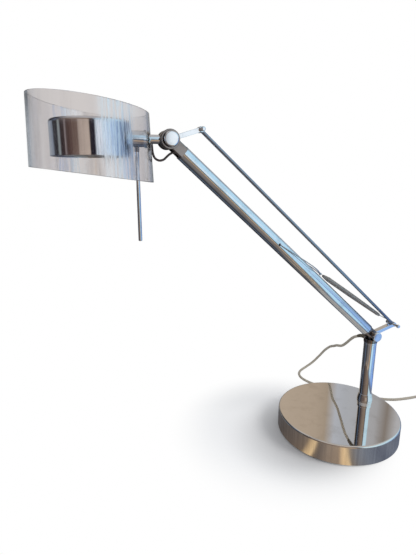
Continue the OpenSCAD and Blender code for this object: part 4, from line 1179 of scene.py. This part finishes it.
HANDLE_R = 2.5 * MM
STUD_R = 1.75 * MM
handle_low, handle_top = low("handle_rod").z, high("handle_rod").z
fitting_r = size("handle_fitting").x / 2
fitting_top = HIGH.z - SLEEVE_R - 0.2 * MM
handle_axis = Vector((middle("handle_rod").x, LOW.y, 0))
turned("turned_handle_rod", "head", "chrome", "handle_rod", rod(HANDLE_R, handle_low, handle_top, 1),
       handle_axis, Z, 48)
turned("handle_stud_fitting", "head", "joint", "handle_fitting",
       [(fitting_r, handle_top, 0.4), (fitting_r, fitting_top, 0.4), (STUD_R, fitting_top, 0),
        (STUD_R, high("handle_fitting").z, 0)], handle_axis, Z, 48)


# Head cable, from the neck down and round to the arm

CABLE_FALL = [(0.4, -5.8), (1, -11.2)]
CABLE_LOOP = [(-18.5, -23.1), (-13.3, -26.2), (-7.3, -25.3), (-2.5, -21.4), (1.2, -18.3), (6.3, -16.1)]
cable_exit = Vector((shade_wall_x + 2.1 * MM, LOW.y, HIGH.z - NECK_R - RUN))
cable_route = [cable_exit]
for start, steps in ((cable_exit, CABLE_FALL), (HIGH, CABLE_LOOP)):
    cable_route += [start + X * (x * MM) + Z * (z * MM) for x, z in steps]
cable_route += [in_arm(tube_to + into, 0, -CABLE_DROP) for into in (2 * CABLE_D, 0)]
cable_path = smooth_path(cable_route, 1.5 * MM)
head_cable = piece("looped_head_cable", None, "cable", [tube(cable_path, CABLE_D / 2, 16, Y)], "head_cable",
                   soft_edges=False)
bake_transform(head_cable)


# Studio: pale floor, soft lamps, white background and the room's tones in polished surfaces

WORLD_LIGHT = (0.62, 0.63, 0.65, 1)
LAMPS_AIM = Vector((-0.1, 0.0, 0.2))
FLOOR_SIZE = 12


def straight_sight(g, path):
    """1 for a ray that comes straight from the eye or only through clear acrylic, else 0."""
    clear = g.math("ADD", path["Is Camera Ray"], path["Is Transmission Ray"], clamp=True)
    return g.math("MULTIPLY", clear, g.math("LESS_THAN", path["Glossy Depth"], 0.5))


def seen_behind(g, path):
    """White behind the lamp, and the room's soft grey where the clear acrylic is in front of it."""
    return g.mix(path["Is Transmission Ray"], (1, 1, 1, 1), tone(212, 208, 207))


def studio_floor():
    """Matte near the lamp, with a painted shadow that darkens its colour left of the base, white beyond, and the
    table's tones where a polished side mirrors it.
    """
    material, g = with_nodes(bpy.data.materials.new("floor"))
    nodes = g.tree.nodes
    nodes.remove(nodes["Principled BSDF"])
    path = g.add("LightPath").outputs
    flat = g.vector("MULTIPLY", g.add("NewGeometry").outputs["Position"], (1, 1, 0))

    def away_from(x, y, near, far):
        return g.span(g.vector("LENGTH", g.vector("SUBTRACT", flat, (x, y, 0))), near, far)

    def shader(kind, *values):
        return g.add(kind, *values).outputs[0]

    heading, _ = heading_of(g, flat)
    table = g.mix(away_from(0, 0, 0.17, 0.21), by_heading(g, heading, TABLE_NEAR),
                  by_heading(g, heading, TABLE_BEYOND))
    # Painted shadow: the matte floor's own colour is darker round a point left of the base
    painted_shadow_tone = g.mix(away_from(-0.06, -0.01, 0.04, 0.15), tone(196, 196, 197), tone(246, 246, 246))
    matte = shader("BsdfDiffuse", painted_shadow_tone)
    white = shader("Emission", seen_behind(g, path))
    pale = shader("MixShader", away_from(-0.09, 0.03, 0.09, 0.2), matte, white)
    seen = shader("MixShader", straight_sight(g, path), matte, pale)
    after_mirror = g.math("GREATER_THAN", path["Glossy Depth"], 0.5)
    mirrored = g.math("MULTIPLY", after_mirror, g.math("MULTIPLY", path["Is Glossy Ray"], 0.95))
    whole = shader("MixShader", mirrored, seen, shader("Emission", table))
    g.feed(nodes["Material Output"].inputs["Surface"], whole)
    return material


floor_corners = [(x * FLOOR_SIZE, y * FLOOR_SIZE, 0) for x, y in ((-1, -1), (1, -1), (1, 1), (-1, 1))]
floor_mesh = shape(floor_corners, [[0, 1, 2, 3]])
floor_mesh.materials.append(studio_floor())
floor = put("floor", floor_mesh)


def studio_world():
    world, g = with_nodes(bpy.data.worlds.new("studio"))
    path = g.add("LightPath").outputs
    tones = g.group(room, Direction=g.add("TexCoord").outputs["Generated"])["Color"]
    soft = g.mix(path["Is Diffuse Ray"], tones, WORLD_LIGHT)
    g.give(g.tree.nodes["Background"], Color=g.mix(straight_sight(g, path), soft, seen_behind(g, path)))
    return world


def soft_lamp(name, at, width, power, colour):
    data = bpy.data.lights.new(name, "AREA")
    data.shape = "DISK"
    data.size = width
    data.energy = power
    data.color = colour
    lamp = put(name, data)
    lamp.location = at
    lamp.rotation_euler = (LAMPS_AIM - at).to_track_quat("-Z", "Y").to_euler()
    lamp.visible_glossy = False
    lamp.visible_transmission = False


bpy.context.scene.world = studio_world()
soft_lamp("key lamp", Vector((1.1, -1.0, 1.5)), 0.9, 16, (1, 0.99, 0.97))
soft_lamp("fill lamp", Vector((-1.4, -0.9, 1.3)), 1.2, 8, (0.97, 0.98, 1))

bpy.context.scene.view_settings.view_transform = "Standard"
